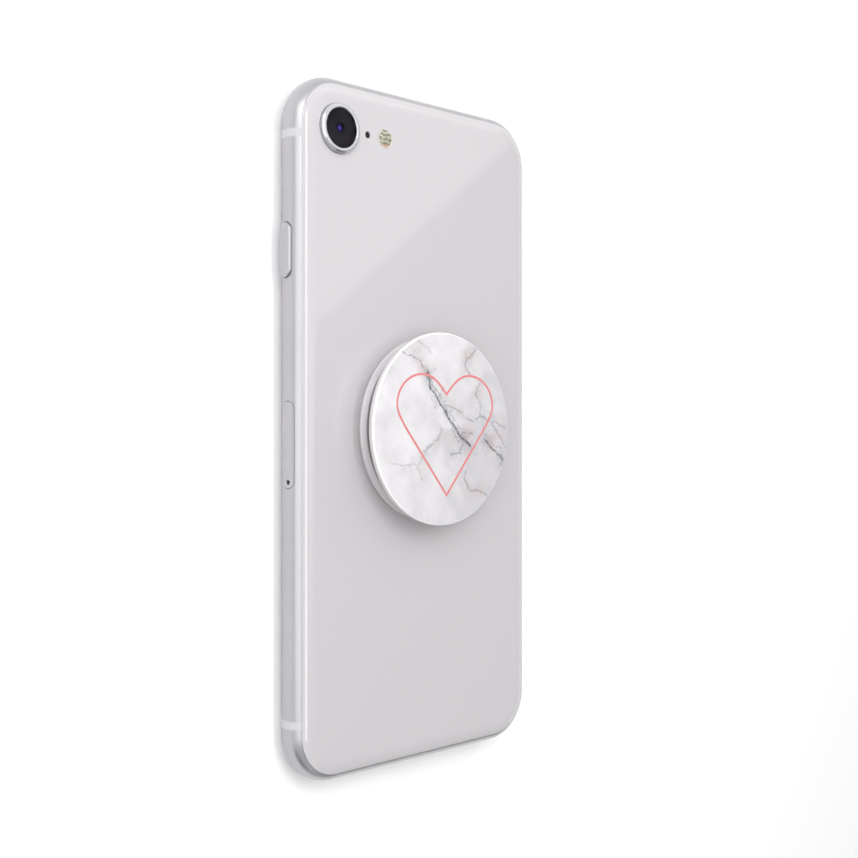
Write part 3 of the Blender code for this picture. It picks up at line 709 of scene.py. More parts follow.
def soft_sleeve():
    """White thermoplastic polyurethane: soft and satin, with a fine eroded mould texture."""
    material, tree, shader, mm = start_finish("soft_sleeve", "cdcacd", 0.48, IOR=1.5,
                                              Subsurface_Weight=0.15, Subsurface_Scale=0.001)
    grain = cloud(tree, mm, 0.25, 3.0)
    shade_between(tree, shader, cloud(tree, mm, 5.0), "c8c5c8", "d1ced1")
    gloss_between(tree, shader, grain, 0.42, 0.56)
    relief(tree, shader, grain, 0.008)
    return material


def rose_ink():
    """Screen-printed rose ink under the disc's clear coat, a little uneven in density."""
    return grained_finish("rose_ink", ("dd7f7f", "d97070", "e39a9a"), (0.1, 0.08, 0.14),
                          2.5, IOR=1.5, Coat_Weight=1.0, Coat_Roughness=0.03)


# Veins of the printed marble as runs of (x, y) in millimetres from the disc's centre, each
# with its half width and strength.
MARBLE_VEINS = [
    ([(-13.5, 16.0), (-6.5, 13.6), (-4.2, 9.6)], 0.16, 0.55),
    ([(-4.6, 11.5), (-3.8, 8.6), (-0.6, 4.4), (5.4, -2.0), (7.8, -3.7)], 0.30, 0.95),
    ([(12.3, -2.2), (14.8, -4.1), (18.4, -7.2)], 0.30, 0.8),
    ([(-8.0, 18.4), (-4.0, 15.8)], 0.2, 0.25),
    ([(9.9, 16.9), (6.9, 14.8), (6.3, 13.0), (7.8, 11.2)], 0.2, 0.45),
    ([(10.9, 9.8), (9.4, 7.0), (10.9, 4.8), (10.9, 2.8)], 0.2, 0.4),
    ([(-0.1, 5.2), (3.2, 4.2), (6.2, 2.3), (8.3, 1.8), (11.1, 2.8), (14.2, 1.6), (19.0, 0.2)], 0.16, 0.45),
    ([(-0.6, 0.4), (-1.7, -2.0), (-4.9, -3.6), (-6.8, -6.1)], 0.22, 0.4),
    ([(-14.8, -6.8), (-8.0, -7.1), (-6.4, -10.4)], 0.16, 0.3),
    ([(7.1, -7.0), (6.0, -10.5), (7.7, -13.1), (10.6, -12.9), (13.2, -14.2)], 0.18, 0.4),
    ([(6.0, -2.8), (4.6, -4.9), (2.0, -5.3)], 0.16, 0.45),
    ([(14.0, 1.7), (16.4, -1.3), (19.2, -4.3)], 0.18, 0.4),
    ([(-4.2, 9.9), (-2.3, 7.8), (0.4, 4.3), (1.3, 2.2), (3.4, -1.6), (4.4, -2.5)], 0.1, 0.5),
    ([(-5.9, 13.2), (-3.9, 10.9), (-2.6, 7.6)], 0.1, 0.5),
    ([(0.4, 4.2), (3.6, 1.6), (4.4, -0.4), (6.6, -2.2)], 0.08, 0.35),
    ([(5.0, -1.6), (6.2, -0.7), (7.0, -1.2), (8.2, -0.9)], 0.1, 0.5),
    ([(11.1, 2.7), (12.0, -0.4), (14.4, -3.0), (17.6, -4.6)], 0.1, 0.35),
    ([(-4.9, -3.6), (-5.4, -5.2), (-7.9, -8.0)], 0.2, 0.3),
]

# How far from a vein, in millimetres, its line stays soft and its haze reaches
VEIN_SOFTNESS = 0.06
HAZE_REACH = 3.4
# Waves that make a vein wander: the size of each and how far it throws the vein
VEIN_WANDER = ((3.6, 1.7), (1.0, 0.55))


def distance_to_leg(tree, where, start, end):
    """How far a point is from one straight leg of a vein."""
    along = Vector((end[0] - start[0], end[1] - start[1], 0))
    offset = vector(tree, "SUBTRACT", where, (*start, 0.0))
    share = vector(tree, "DOT_PRODUCT", offset, tuple(along / along.length_squared))
    foot = vector(tree, "SCALE", tuple(along), spread(tree, share, 0.0, 1.0))
    return vector(tree, "DISTANCE", offset, foot)


def marble_print():
    """Marble pattern printed on the disc under a thick clear coat: white ground, grey veins that wander
    and fray, smoky shade along them, and a few warm stains. A painted shade greys the ground towards the
    lower right."""
    material, tree, shader, mm = start_finish("marble_print", "f2eff0", 0.12, IOR=1.5,
                                              Coat_Weight=1.0, Coat_Roughness=0.02)
    flat = vector(tree, "MULTIPLY", mm, (1.0, 1.0, 0.0))
    warped = flat
    for size, throw in VEIN_WANDER:
        push = add(tree, "TexNoise", {"Vector": flat, "Scale": 1 / size, "Detail": 4.0}, out="Color")
        centred = vector(tree, "SUBTRACT", push, (0.5, 0.5, 0.5))
        warped = vector(tree, "ADD", warped, vector(tree, "MULTIPLY", centred, (throw, throw, 0.0)))
    fray = spread(tree, cloud(tree, flat, 1.1, 6.0, 0.7), 0.45, 0.75, -0.1, 0.3)
    lines, hazes = [], []
    for run, half_width, strength in MARBLE_VEINS:
        legs = [distance_to_leg(tree, warped, *leg) for leg in zip(run, run[1:])]
        nearest = most_or_least(tree, "MINIMUM", legs)
        thinned = number(tree, "ADD", nearest, fray)
        lines.append(spread(tree, thinned, VEIN_SOFTNESS + half_width, 0.0, 0.0, strength))
        hazes.append(spread(tree, nearest, HAZE_REACH, 0.0, 0.0, strength))
    smoke = most_or_least(tree, "MAXIMUM", hazes)
    # Hairlines run where a noise crosses its middle value, and only near the veins.
    mottle = cloud(tree, warped, 5.0, 3.0)
    off_middle = number(tree, "ABSOLUTE", number(tree, "SUBTRACT", mottle, 0.5))
    crests = spread(tree, off_middle, 0.014, 0.0, 0.0, 0.45)
    hairs = number(tree, "MULTIPLY", crests, spread(tree, smoke, 0.15, 0.6))
    veins = most_or_least(tree, "MAXIMUM", [*lines, hairs])
    billow = spread(tree, cloud(tree, warped, 4.5, 5.0, 0.6), 0.4, 0.72)
    shade = number(tree, "MULTIPLY", smoke, billow)
    # The ground greys in soft billows, and a painted shade darkens it towards the lower right edge.
    billows = spread(tree, cloud(tree, flat, 7.0, 4.0), 0.38, 0.68, 0.0, 0.7)
    lean = vector(tree, "DOT_PRODUCT", flat, (0.85, -0.5, 0.0))
    painted_shade_corner = spread(tree, lean, -8.0, 17.0, 0.0, 0.75)
    drift = number(tree, "ADD", billows, painted_shade_corner, use_clamp=True)
    warm_spots = spread(tree, mottle, 0.52, 0.7, 0.0, 0.6)
    warm = number(tree, "MULTIPLY", warm_spots, spread(tree, smoke, 0.05, 0.4))
    stained = mixed(tree, warm, mixed(tree, drift, "e6e3e6", "cccace"), "cfb4aa")
    smoky = mixed(tree, shade, stained, "a09fa6")
    shade_between(tree, shader, veins, smoky, "5e5d63")
    gloss_between(tree, shader, cloud(tree, mm, 12.0), 0.1, 0.16)
    return material


def floor_paint():
    """Matt white paint on a seamless board."""
    material, tree, shader, mm = start_finish("floor_paint", "fbfafb", 0.9, Specular_IOR_Level=0.1)
    shade_between(tree, shader, cloud(tree, mm, 200.0), "fbfafb", "fdfcfd")
    return material


ALUMINIUM = bead_blasted_aluminium()
ANTENNA = moulded_antenna_polymer()
GLASS = back_painted_glass()
SCREEN = screen_glass()
BRIGHT_RING = polished_aluminium()
SAPPHIRE = coated_sapphire()
BLACK = camera_black()
LENS = coated_lens()
PHOSPHOR = flash_phosphor()
FLASH_RIM = clear_diffuser_rim()
STEEL = nickel_plated_steel()
SCREW_STEEL = cut_screw_steel()
MESH_CLOTH = black_mesh_cloth()
ELASTOMER = black_elastomer()
GASKET = seam_gasket()
GOLD = gold_contacts()
CARD = card_plastic()
PANEL = lcd_panel()
POUCH = pouch_film()
BOARD = solder_mask()
COPPER = lacquered_copper_coil()
FOAM = foam_tape()
POLYCARBONATE = moulded_polycarbonate()
HIGHLIGHT_RIM = painted_highlight_rim()
SLEEVE = soft_sleeve()
INK = rose_ink()
MARBLE = marble_print()


# Housing --------------------------------------------------------------------------


def phone_block(inset=0.0, corner_steps=24, edge_steps=28):
    """The phone's outside as one solid: a block with rounded corners, whose rims are
    rounded by a superellipse, drawn in evenly by the inset."""
    half_width, half_length = HALF_WIDTH - inset, HALF_LENGTH - inset
    bm = bmesh.new()
    bmesh.ops.create_cube(bm, size=2)
    bmesh.ops.scale(bm, vec=(half_width, half_length, EDGE_RUN), verts=bm.verts)
    uprights = [e for e in bm.edges if abs(e.verts[0].co.z - e.verts[1].co.z) > EDGE_RUN]
    bevel(bm, uprights, PLAN_CORNER_RADIUS - inset, corner_steps)
    rims = flat_edges(bm, EDGE_RUN) + flat_edges(bm, -EDGE_RUN)
    squareness = 2 ** (-2 / EDGE_POWER)
    bevel(bm, rims, EDGE_RUN * 0.9995, edge_steps, squareness)
    bmesh.ops.scale(bm, vec=(1, 1, HALF_THICKNESS / EDGE_RUN), verts=bm.verts)
    return moved(bm, z=MID_Z)


def band_block():
    """The slice of the phone's outside that the frame fills, its two seams chamfered."""
    band = keep_between(phone_block(), BAND_LOW.z, BAND_HIGH.z)
    bevel(band, flat_edges(band, BAND_LOW.z) + flat_edges(band, BAND_HIGH.z), SEAM_CHAMFER, 3)
    return band


def set_in_side(bm, node, side):
    """Turns an upright shape out of the right (1) or left (-1) side, centred on a CAD node."""
    low, high = corners(node)
    turn_to(bm, "+X" if side > 0 else "-X")
    return moved(bm, y=(low.y + high.y) / 2, z=(low.z + high.z) / 2)


def side_slot(node, side):
    """A cutter along X for the opening that a key or the tray runs in."""
    low, high = corners(node)
    size = (high.z - low.z + 2 * KEY_GAP, high.y - low.y + 2 * KEY_GAP)
    cutter = block(size, *SIDE_CUT, size[0] / 2, steps=10)
    return set_in_side(flared(cutter, HALF_WIDTH - SLOT_FLARE, SIDE_CUT[1]), node, side)


def ring_switch_slot():
    """A cutter for the switch's slot, as long as its lever and tall enough for its travel."""
    low, high = corners("ring_switch_lever")
    size = (2 * (MID_Z - low.z) + 0.15, high.y - low.y + 4 * KEY_GAP)
    cutter = flared(block(size, *SIDE_CUT, 0.75, steps=8), HALF_WIDTH - SLOT_FLARE, SIDE_CUT[1])
    return moved(turn_to(cutter, "+X"), y=(low.y + high.y) / 2, z=MID_Z)


def bottom_hole(radius, x, flare):
    """A round cutter along Y in the bottom edge, with a chamfered mouth."""
    cutter = flared(bar(radius, *END_CUT, 32), HALF_LENGTH - flare, END_CUT[1])
    return moved(turn_to(cutter, "-Y"), x=x, z=MID_Z)


def antenna_band(node, outward):
    """The stretch of the frame's skin that a plastic strip fills, or its groove."""
    low, high = corners(node)
    middle = (low + high) / 2
    size = (8, (high.y - low.y) + 2 * outward)
    around = moved(block(size, BAND_LOW.z - outward, BAND_HIGH.z + outward),
                   x=math.copysign(HALF_WIDTH - 1, middle.x), y=middle.y)
    return carved(around, phone_block(ANTENNA_DEPTH))


def make_frame():
    """The side frame with all its openings, and the plastic strips inlaid in it."""
    inner_half = (HALF_WIDTH - INNER_WALL_INSET, HALF_LENGTH - INNER_WALL_INSET)
    inner = block((2 * inner_half[0], 2 * inner_half[1]), -1, BACK_Z + 1,
                  PLAN_CORNER_RADIUS - INNER_WALL_INSET, steps=12)
    cutters = [inner]
    for node, (_, side) in KEYS.items():
        cutters.append(side_slot(node, side))
    cutters += [ring_switch_slot(), side_slot("sim_tray", -1)]
    port = flared(block(PORT_SIZE, *END_CUT, PORT_SIZE[1] / 2, steps=14),
                  HALF_LENGTH - PORT_FLARE, END_CUT[1])
    cutters.append(moved(turn_to(port, "-Y"), z=MID_Z))
    for side in (-1, 1):
        cutters.append(bottom_hole(SCREW_RADIUS + 0.05, side * SCREW_X, 0.08))
        for hole in range(GRILLE_COUNT):
            x = side * (GRILLE_FIRST_X + hole * GRILLE_PITCH)
            cutters.append(bottom_hole(GRILLE_HOLE_RADIUS, x, 0.14))
    strips = sorted(node for node in frame["nodes"] if node.startswith("antenna_strip"))
    cutters += [antenna_band(node, 0.01) for node in strips]
    place(carved(band_block(), *cutters), "side_frame", ALUMINIUM, "frame_band", housing=True)
    for node in strips:
        strip = carved(band_block(), antenna_band(node, 0.0), operation="INTERSECT")
        place(strip, node.replace("strip", "inlay"), ANTENNA, node, housing=True)


def make_seam_beads():
    """The bead of sealant that shows as a pale line between each glass and the frame."""
    for name, (low, high) in (("front_seam_bead", FRONT_SEAM), ("rear_seam_bead", BACK_SEAM)):
        ring = keep_between(phone_block(BEAD_INSETS[0]), low - BEAD_LAP, high + BEAD_LAP)
        bead = carved(ring, phone_block(BEAD_INSETS[1]))
        place(bead, name, GASKET, (), slot="antenna_plastic", housing=True)


def make_rear_glass():
    """The rear glass with its holes for the camera, the flash and the microphone."""
    low, high = BACK_SEAM[1], BACK_Z + 1
    glass = keep_between(phone_block(), low, high)
    bevel(glass, flat_edges(glass, low), SEAM_CHAMFER, 3)
    holes = []
    for at, radius in ((CAMERA_AT, CAMERA_RING_RADIUS + 0.03), (FLASH_AT, FLASH_RADIUS + 0.16),
                       (REAR_MIC_AT, REAR_MIC_HOLE_RADIUS)):
        hole = flared(bar(radius, low - 1, high, 64), BACK_Z - GLASS_HOLE_FLARE, high)
        holes.append(moved(hole, x=at.x, y=at.y))
    place(carved(glass, *holes, solver="FAST"), "rear_glass", GLASS, "back_glass", housing=True)


def make_front_glass():
    """The front glass with its holes for the home button and the earpiece."""
    low, high = FRONT_Z - 1, FRONT_SEAM[0]
    glass = keep_between(phone_block(), low, high)
    bevel(glass, flat_edges(glass, high), SEAM_CHAMFER, 3)
    home = bar(HOME_RADIUS + 0.06, low, high + 1, 96, (HOME_AT.x, HOME_AT.y))
    slot = block(EARPIECE_SLOT, low, high + 1, EARPIECE_SLOT[1] / 2, 10,
                 middle=(EARPIECE_AT.x, EARPIECE_AT.y))
    place(carved(glass, home, slot, solver="FAST"), "screen_cover_glass", SCREEN, "front_glass",
          housing=True)


def make_rear_camera():
    """Trim ring, window, printed mask, stepped barrel and front lens of the rear camera."""
    base = corners("camera_bezel_ring")[0].z
    lip = CAMERA_TOP - 0.13
    bore = WINDOW_RADIUS + 0.05
    rim = [(bore, base), (CAMERA_RING_RADIUS, base), (CAMERA_RING_RADIUS, CAMERA_TOP - 0.3),
           (CAMERA_RING_RADIUS - 0.34, CAMERA_TOP), (WINDOW_RADIUS + 0.14, CAMERA_TOP), (bore, lip)]
    place(turned(softened(rim, 0.3, 6), at=CAMERA_AT), "camera_trim_ring", BRIGHT_RING,
          "camera_bezel_ring")

    low = corners("camera_lens_cover")[0].z
    pane = [(0, lip + 0.02), (WINDOW_RADIUS, lip + 0.02), (WINDOW_RADIUS, low), (0, low)]
    place(turned(softened(pane, 0.06, 3), at=CAMERA_AT), "camera_window", SAPPHIRE,
          "camera_lens_cover")

    mask_z = low - 0.04
    mask_edge = WINDOW_RADIUS - 0.02
    mask = [(MASK_APERTURE, mask_z), (mask_edge, mask_z), (mask_edge, mask_z - 0.05),
            (MASK_APERTURE, mask_z - 0.05)]
    place(turned(mask, at=CAMERA_AT), "camera_window_mask", BLACK, (), slot="sensor_black")

    barrel_low, barrel_high = (c.z for c in corners("rear_camera_barrel"))
    top = min(barrel_high, mask_z - 0.1)
    steps = [(0, BARREL_FLOOR_Z), (BARREL_BORE, BARREL_FLOOR_Z)]
    for ring in range(BARREL_RINGS):
        radius = BARREL_BORE + BARREL_RING_STEP * ring
        z = BARREL_FLOOR_Z + 0.2 * (ring + 1)
        steps += [(radius, z), (radius + BARREL_RING_STEP, z)]
    steps += [(BARREL_MOUTH, top), (BARREL_EDGE, top), (BARREL_EDGE, barrel_low), (0, barrel_low)]
    place(turned(steps, 96, at=CAMERA_AT), "rear_lens_barrel", BLACK, "rear_camera_barrel")

    flank = mask_z - 0.06 - LENS_RISE
    angles = [math.radians(degrees) for degrees in range(0, 91, 5)]
    dome = [(LENS_RADIUS * math.sin(a), flank + LENS_RISE * math.cos(a)) for a in angles]
    place(turned([*dome, (0, flank)], 96, at=CAMERA_AT), "rear_lens_element", LENS, (),
          slot="black_glass")


def make_flash_and_microphone():
    """The flash's ribbed diffuser in its milky rim, and the mesh in the microphone's hole."""
    low, top = FLASH_LOW.z, FLASH_HIGH.z
    profile = [(0, top)]
    for ring in range(FLASH_RIBS):
        radius = FLASH_RIB_PITCH * (ring + 0.5)
        profile += [(radius, top), (radius + 0.1, top - 0.05), (radius + 0.14, top)]
    profile += [(FLASH_RADIUS - 0.02, top), (FLASH_RADIUS, top - 0.04), (FLASH_RADIUS, low), (0, low)]
    place(turned(profile, 64, at=FLASH_AT), "flash_diffuser", PHOSPHOR, "flash_lens")
    inner, outer = FLASH_RADIUS + 0.02, FLASH_RADIUS + 0.13
    rim = [(inner, top + 0.02), (outer, top + 0.02), (outer, FLASH_RIM_LOW), (inner, FLASH_RIM_LOW)]
    place(turned(rim, 64, at=FLASH_AT), "flash_rim", FLASH_RIM, (), slot="flash_lens")
    edge = REAR_MIC_HOLE_RADIUS - 0.03
    low, top = REAR_MIC_MESH_Z
    sieve = [(0, top), (edge, top), (edge, low), (0, low)]
    place(turned(sieve, 32, at=REAR_MIC_AT), "rear_microphone_mesh", MESH_CLOTH, (),
          slot="black_rubber")


def make_home_button():
    """The home button's metal ring and its glass sensor disc."""
    low, high = HOME_LOW.z, HOME_HIGH.z
    inner = HOME_RADIUS - 0.42
    ring = [(inner, high), (HOME_RADIUS, high), (HOME_RADIUS, low), (HOME_RADIUS - 0.2, low - 0.01),
            (inner, low + 0.08)]
    place(turned(ring, at=HOME_AT), "home_trim_ring", BRIGHT_RING, "home_button_ring")
    key_low, key_high = (c.z for c in corners("home_button"))
    key = [(0, key_high), (inner - 0.04, key_high), (inner - 0.04, key_low), (0, key_low + 0.06)]
    place(turned(softened(key, 0.1), at=HOME_AT), "home_sensor_glass", GLASS, "home_button")


# Keys, switch and card tray -------------------------------------------------------


def make_keys():
    """The side key and the two volume keys, each a rounded bar with soft edges."""
    for node, (body, side) in KEYS.items():
        low, high = corners(node)
        near, far = sorted((abs(low.x), abs(high.x)))
        height = high.z - low.z
        key = block((height, high.y - low.y), near, far, height / 2, 14, 0.28, 5)
        key = set_in_side(key, node, side)
        place(key, node.replace("button", "key_cap"), ALUMINIUM, node, body)


def make_ring_switch():
    """The ring switch's lever."""
    node = "ring_switch_lever"
    low, high = corners(node)
    lever = block((high.z - low.z, high.y - low.y), low.x, high.x, 0.62, 8, 0.2, 4)
    place(set_in_side(lever, node, 1), "ring_switch_key", ALUMINIUM, node, "ring_switch")


def make_card_tray():
    """Head, leaf and card pocket of the tray in one milled piece."""
    middle = (TRAY_LOW + TRAY_HIGH) / 2
    size = (TRAY_HIGH.z - TRAY_LOW.z, TRAY_HIGH.y - TRAY_LOW.y)
    outline = block(size, HALF_WIDTH - TRAY_HEAD_DEPTH, HALF_WIDTH + 1, size[0] / 2, 14)
    head = carved(keep_between(phone_block(), BAND_LOW.z, BAND_HIGH.z),
                  set_in_side(outline, "sim_tray", -1), operation="INTERSECT")
    leaf_size = (TRAY_HIGH.x + HALF_WIDTH - 1.0, TRAY_LEAF_LENGTH)
    leaf_x = TRAY_HIGH.x - leaf_size[0] / 2
    leaf_z = (middle.z - TRAY_LEAF_HALF, middle.z + TRAY_LEAF_HALF)
    through = (leaf_z[0] - 1, leaf_z[1] + 1)
    leaf = block(leaf_size, *leaf_z, 0.8, 6, 0.05, 1, (leaf_x, middle.y))
    card_low, card_high = corners("sim_card")
    card_middle = (card_low + card_high) / 2
    card_at = (card_middle.x, card_middle.y)
    card_size = (card_high.x - card_low.x, card_high.y - card_low.y)
    pocket = block((card_size[0] + 0.2, card_size[1] + 0.2), card_low.z - 0.05, through[1], 0.6, 5,
                   middle=card_at)
    window = block((card_size[0] - 1.6, card_size[1] - 2.2), *through, 1.0, 5, middle=card_at)
    notches = []
    for side in (-1, 1):
        notch_at = (leaf_x - 1, middle.y + side * TRAY_LEAF_LENGTH / 2)
        notches.append(block((3.4, 0.5), *through, 0.2, 3, middle=notch_at))
    pinhole = flared(bar(TRAY_PINHOLE_RADIUS, HALF_WIDTH - 1.15, HALF_WIDTH + 1, 32),
                     HALF_WIDTH - 0.12, HALF_WIDTH + 1)
    moved(turn_to(pinhole, "-X"), y=TRAY_PINHOLE_Y, z=middle.z)
    tray = carved(carved(head, leaf, operation="UNION"), pocket, window, pinhole, *notches)
    place(tray, "card_tray", ALUMINIUM, "sim_tray", "card_tray", housing=True)

    card = block(card_size, card_low.z, card_high.z, 0.7, 5, 0.04, 1, card_at)
    corner = block((3, 3), card_low.z - 1, card_high.z + 1)
    bmesh.ops.rotate(corner, cent=(0, 0, 0), matrix=Matrix.Rotation(math.radians(45), 3, "Z"),
                     verts=corner.verts)
    moved(corner, x=card_high.x + 0.9, y=card_high.y + 0.9)
    place(carved(card, corner), "phone_card", CARD, "sim_card", "card_tray")
    pads = []
    for row in (-1, 1):
        for column in (-1, 0, 1):
            at = (card_middle.x + row * CARD_PAD_PITCH[0], card_middle.y + column * CARD_PAD_PITCH[1])
            pads.append(block(CARD_PAD_SIZE, card_low.z - 0.02, card_low.z + 0.02, 0.4, 4, middle=at))
    place(joined(*pads), "phone_card_contacts", GOLD, (), "card_tray", slot="copper")


# Bottom edge ----------------------------------------------------------------------


def make_charging_port():
    """The port's steel case with its rounded socket, and the two rows of contacts in it."""
    low, high = corners("charging_port")
    case = block((high.x - low.x, high.z - low.z), -high.y, -low.y, 1.2, 5, 0.1, 2)
    socket = block(PORT_SIZE, HALF_LENGTH - INNER_WALL_INSET - PORT_DEPTH, HALF_LENGTH,
                   PORT_SIZE[1] / 2, 14)
    place(moved(turn_to(carved(case, socket), "-Y"), z=MID_Z), "port_case", STEEL, "charging_port")
    contacts = []
    for side in (-1, 1):
        for number_in_row in range(PORT_CONTACTS):
            x = (number_in_row - (PORT_CONTACTS - 1) / 2) * PORT_CONTACT_PITCH
            z = MID_Z + side * (PORT_SIZE[1] / 2 - 0.08)
            contact = block((0.42, 0.16), HALF_LENGTH - 8.5, HALF_LENGTH - 5.2, 0.05, 2)
            contacts.append(moved(turn_to(contact, "-Y"), x=x, z=z))
    place(joined(*contacts), "port_contacts", GOLD, (), slot="copper")


def make_screws():
    """Turned screws with a five-lobed recess."""
    top = HALF_LENGTH - SCREW_SUNK
    neck, recess = top - 1.0, top - 0.5
    for side, node in ((-1, "bottom_screw_left"), (1, "bottom_screw_right")):
        end = -corners(node)[1].y
        profile = [(0, top), (SCREW_RADIUS, top), (SCREW_RADIUS, neck), (SCREW_SHANK_RADIUS, neck),
                   (SCREW_SHANK_RADIUS, end), (0, end)]
        head = turned(softened(profile, 0.12, 3), 48)
        lobes = []
        for lobe in range(SCREW_LOBES):
            angle = math.tau * lobe / SCREW_LOBES
            at = (SCREW_LOBE_CIRCLE * math.cos(angle), SCREW_LOBE_CIRCLE * math.sin(angle))
            lobes.append(bar(0.15, recess, top + 1, 16, at))
        lobes.append(bar(SCREW_LOBE_CIRCLE, recess, top + 1, 20))
        place(moved(turn_to(carved(head, *lobes), "-Y"), x=side * SCREW_X, z=MID_Z),
              node.replace("screw", "fixing_screw"), SCREW_STEEL, node)


# Grip -----------------------------------------------------------------------------


def heart_line():
    """The centre line of the heart outline: two round lobes that run straight to the tip.
    Each half is a chain of cubic curves, mirrored about the heart's own middle."""
    notch, tip = Vector((0, 7.1)), Vector((0, -13.6))
    crest, side, shoulder = Vector((6.9, 11.1)), Vector((14.0, 4.9)), Vector((11.9, 0.6))
    pieces = [
        (notch, notch + Vector((2.3, 2.5)), crest + Vector((-2.8, 0.0)), crest),
        (crest, crest + Vector((3.9, 0.0)), side + Vector((0.0, 3.4)), side),
        (side, side + Vector((0.0, -1.7)), shoulder + Vector((0.8, 1.3)), shoulder),
        (shoulder, shoulder + (tip - shoulder) / 3, tip - (tip - shoulder) / 3, tip),
    ]
    half = [notch]
    for a, b, c, d in pieces:
        for step in range(1, HEART_STEPS + 1):
            t = step / HEART_STEPS
            s = 1 - t
            half.append(s ** 3 * a + 3 * t * s ** 2 * b + 3 * t * t * s * c + t ** 3 * d)
    other = [Vector((-p.x, p.y)) for p in half[-2:0:-1]]
    return [Vector((p.x + HEART_MIDDLE_X, p.y)) for p in half + other]


def make_heart():
    """A flat ribbon along the heart line, its corners mitred."""
    line = heart_line()
    bm = bmesh.new()
    verts = [bm.verts.new((p.x, p.y, DISC_TOP - 0.01)) for p in line]
    edges = [bm.edges.new((a, b)) for a, b in zip(verts, verts[1:] + verts[:1])]
    mitres = []
    for before, here, after in zip(line[-1:] + line[:-1], line, line[1:] + line[:1]):
        first, second = (here - before).normalized(), (after - here).normalized()
        across = Vector((first.y + second.y, -first.x - second.x)).normalized()
        mitres.append(across / max(across.dot(Vector((first.y, -first.x))), 0.3))
    made = bmesh.ops.extrude_edge_only(bm, edges=edges)
    outer = [v for v in made["geom"] if isinstance(v, bmesh.types.BMVert)]
    by_place = {(round(v.co.x, 5), round(v.co.y, 5)): v for v in outer}
    pairs = [(v, by_place[(round(v.co.x, 5), round(v.co.y, 5))]) for v in verts]
    for (inner_vert, outer_vert), mitre in zip(pairs, mitres):
        shift = Vector((mitre.x, mitre.y, 0)) * HEART_LINE_WIDTH / 2
        inner_vert.co -= shift
        outer_vert.co += shift
    raised = bmesh.ops.extrude_face_region(bm, geom=bm.faces[:])
    lifted = [v for v in raised["geom"] if isinstance(v, bmesh.types.BMVert)]
    bmesh.ops.translate(bm, vec=(0, 0, HEART_THICKNESS), verts=lifted)
    place(face_outward(bm), "heart_outline", INK, (), "grip_disc", slot="grip_print")


def make_grip_base():
    """The foam pad on the glass and the dished base on it."""
    edge, low, high = PAD_HIGH.x, PAD_LOW.z, PAD_HIGH.z
    pad = [(0, high), (edge, high), (edge - 0.08, (low + high) / 2), (edge, low), (0, low)]
    place(turned(softened(pad, 0.1)), "grip_foam_pad", FOAM, "grip_adhesive_pad")

    edge, low, high = BASE_HIGH.x, BASE_LOW.z, BASE_HIGH.z
    well = low + BASE_FLOOR
    base = [(0, well), (BASE_WELL_RADIUS, well), (BASE_WELL_RADIUS + 0.25, high - 0.05),
            (edge - 1.0, high), (edge - 0.15, low + 0.6), (edge, low + 0.3), (edge - 0.3, low), (0, low)]
    place(turned(softened(base, 0.16)), "grip_base", POLYCARBONATE, "grip_base_plate")


def make_grip_head():
    """The carrier plate with its hub, and the printed disc that turns on it."""
    edge, low, high = PLATE_HIGH.x, PLATE_LOW.z, PLATE_HIGH.z
    plate = [(0, high), (HUB_RADIUS, high), (HUB_RADIUS, PLATE_TOP), (edge - 0.4, PLATE_TOP),
             (edge, PLATE_TOP - 0.3), (edge - 0.4, low), (0, low)]
    place(turned(softened(plate, 0.15)), "grip_carrier_plate", POLYCARBONATE, "grip_top_plate",
          "grip_head")

    under = DISC_LOW.z
    socket = HUB_RADIUS + 0.15
    rim = [(0, DISC_TOP), (DISC_RADIUS - DISC_BEVEL, DISC_TOP), (DISC_RADIUS, DISC_TOP - DISC_BEVEL),
           (DISC_RADIUS, under + 0.3), (DISC_RADIUS - 0.3, under), (socket, under),
           (socket, DISC_SOCKET_Z), (0, DISC_SOCKET_Z)]
    disc = turned(softened(rim, 0.22), 192)
    # Flat top faces take the marble print, and the bevel faces take the whiter rim copy: a painted
    # highlight against the plainer white of the side.
    for face in disc.faces:
        middle = face.calc_center_median()
        if middle.z > DISC_TOP - 0.01 and face.normal.z > 0.9:
            face.material_index = 1
        elif middle.z > DISC_TOP - 0.3 and face.normal.z > 0.05:
            face.material_index = 2
    place(disc, "grip_disc_cap", [POLYCARBONATE, MARBLE, HIGHLIGHT_RIM], "grip_top_disc", "grip_disc")


def make_sleeve():
    """The ribbed sleeve stretches between the base and the carrier plate."""
    outer = softened(SLEEVE_RIBS[::-1], 0.25, 4)
    inner = softened([(radius - SLEEVE_WALL, z) for radius, z in SLEEVE_RIBS], 0.25, 4)
    sleeve = place(turned(outer + inner, 160), "grip_sleeve", SLEEVE, "grip_bellows", sharp=60,
                   ride=False)
    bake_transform(sleeve)


# Frame nodes that keep their own shape ---------------------------------------------


def finish_inner_nodes():
    """Gives each piece that keeps its CAD shape its material."""
    finishes = {
        STEEL: ("back_plate", "rear_camera_module", "rear_microphone", "display_shield_plate",
                "home_button_bracket", "board_shield_lower", "board_shield_upper", "haptic_engine",
                "bottom_microphone", "side_button_switch", "volume_switch_board", "sim_reader"),
        ELASTOMER: ("display_gasket", "earpiece_speaker", "loudspeaker_module", "ring_switch_body"),
        MESH_CLOTH: ("earpiece_mesh", "speaker_mesh", "microphone_mesh"),
        BOARD: ("flash_board", "logic_board"),
        BLACK: ("front_camera_module",),
        PANEL: ("display_panel",),
        POUCH: ("battery",),
        COPPER: ("wireless_charging_coil",),
    }
    for finish, nodes in finishes.items():
        for node in nodes:
            mesh = frame["nodes"][node].data
            mesh.materials.clear()
            mesh.materials.append(finish)


# Studio ---------------------------------------------------------------------------


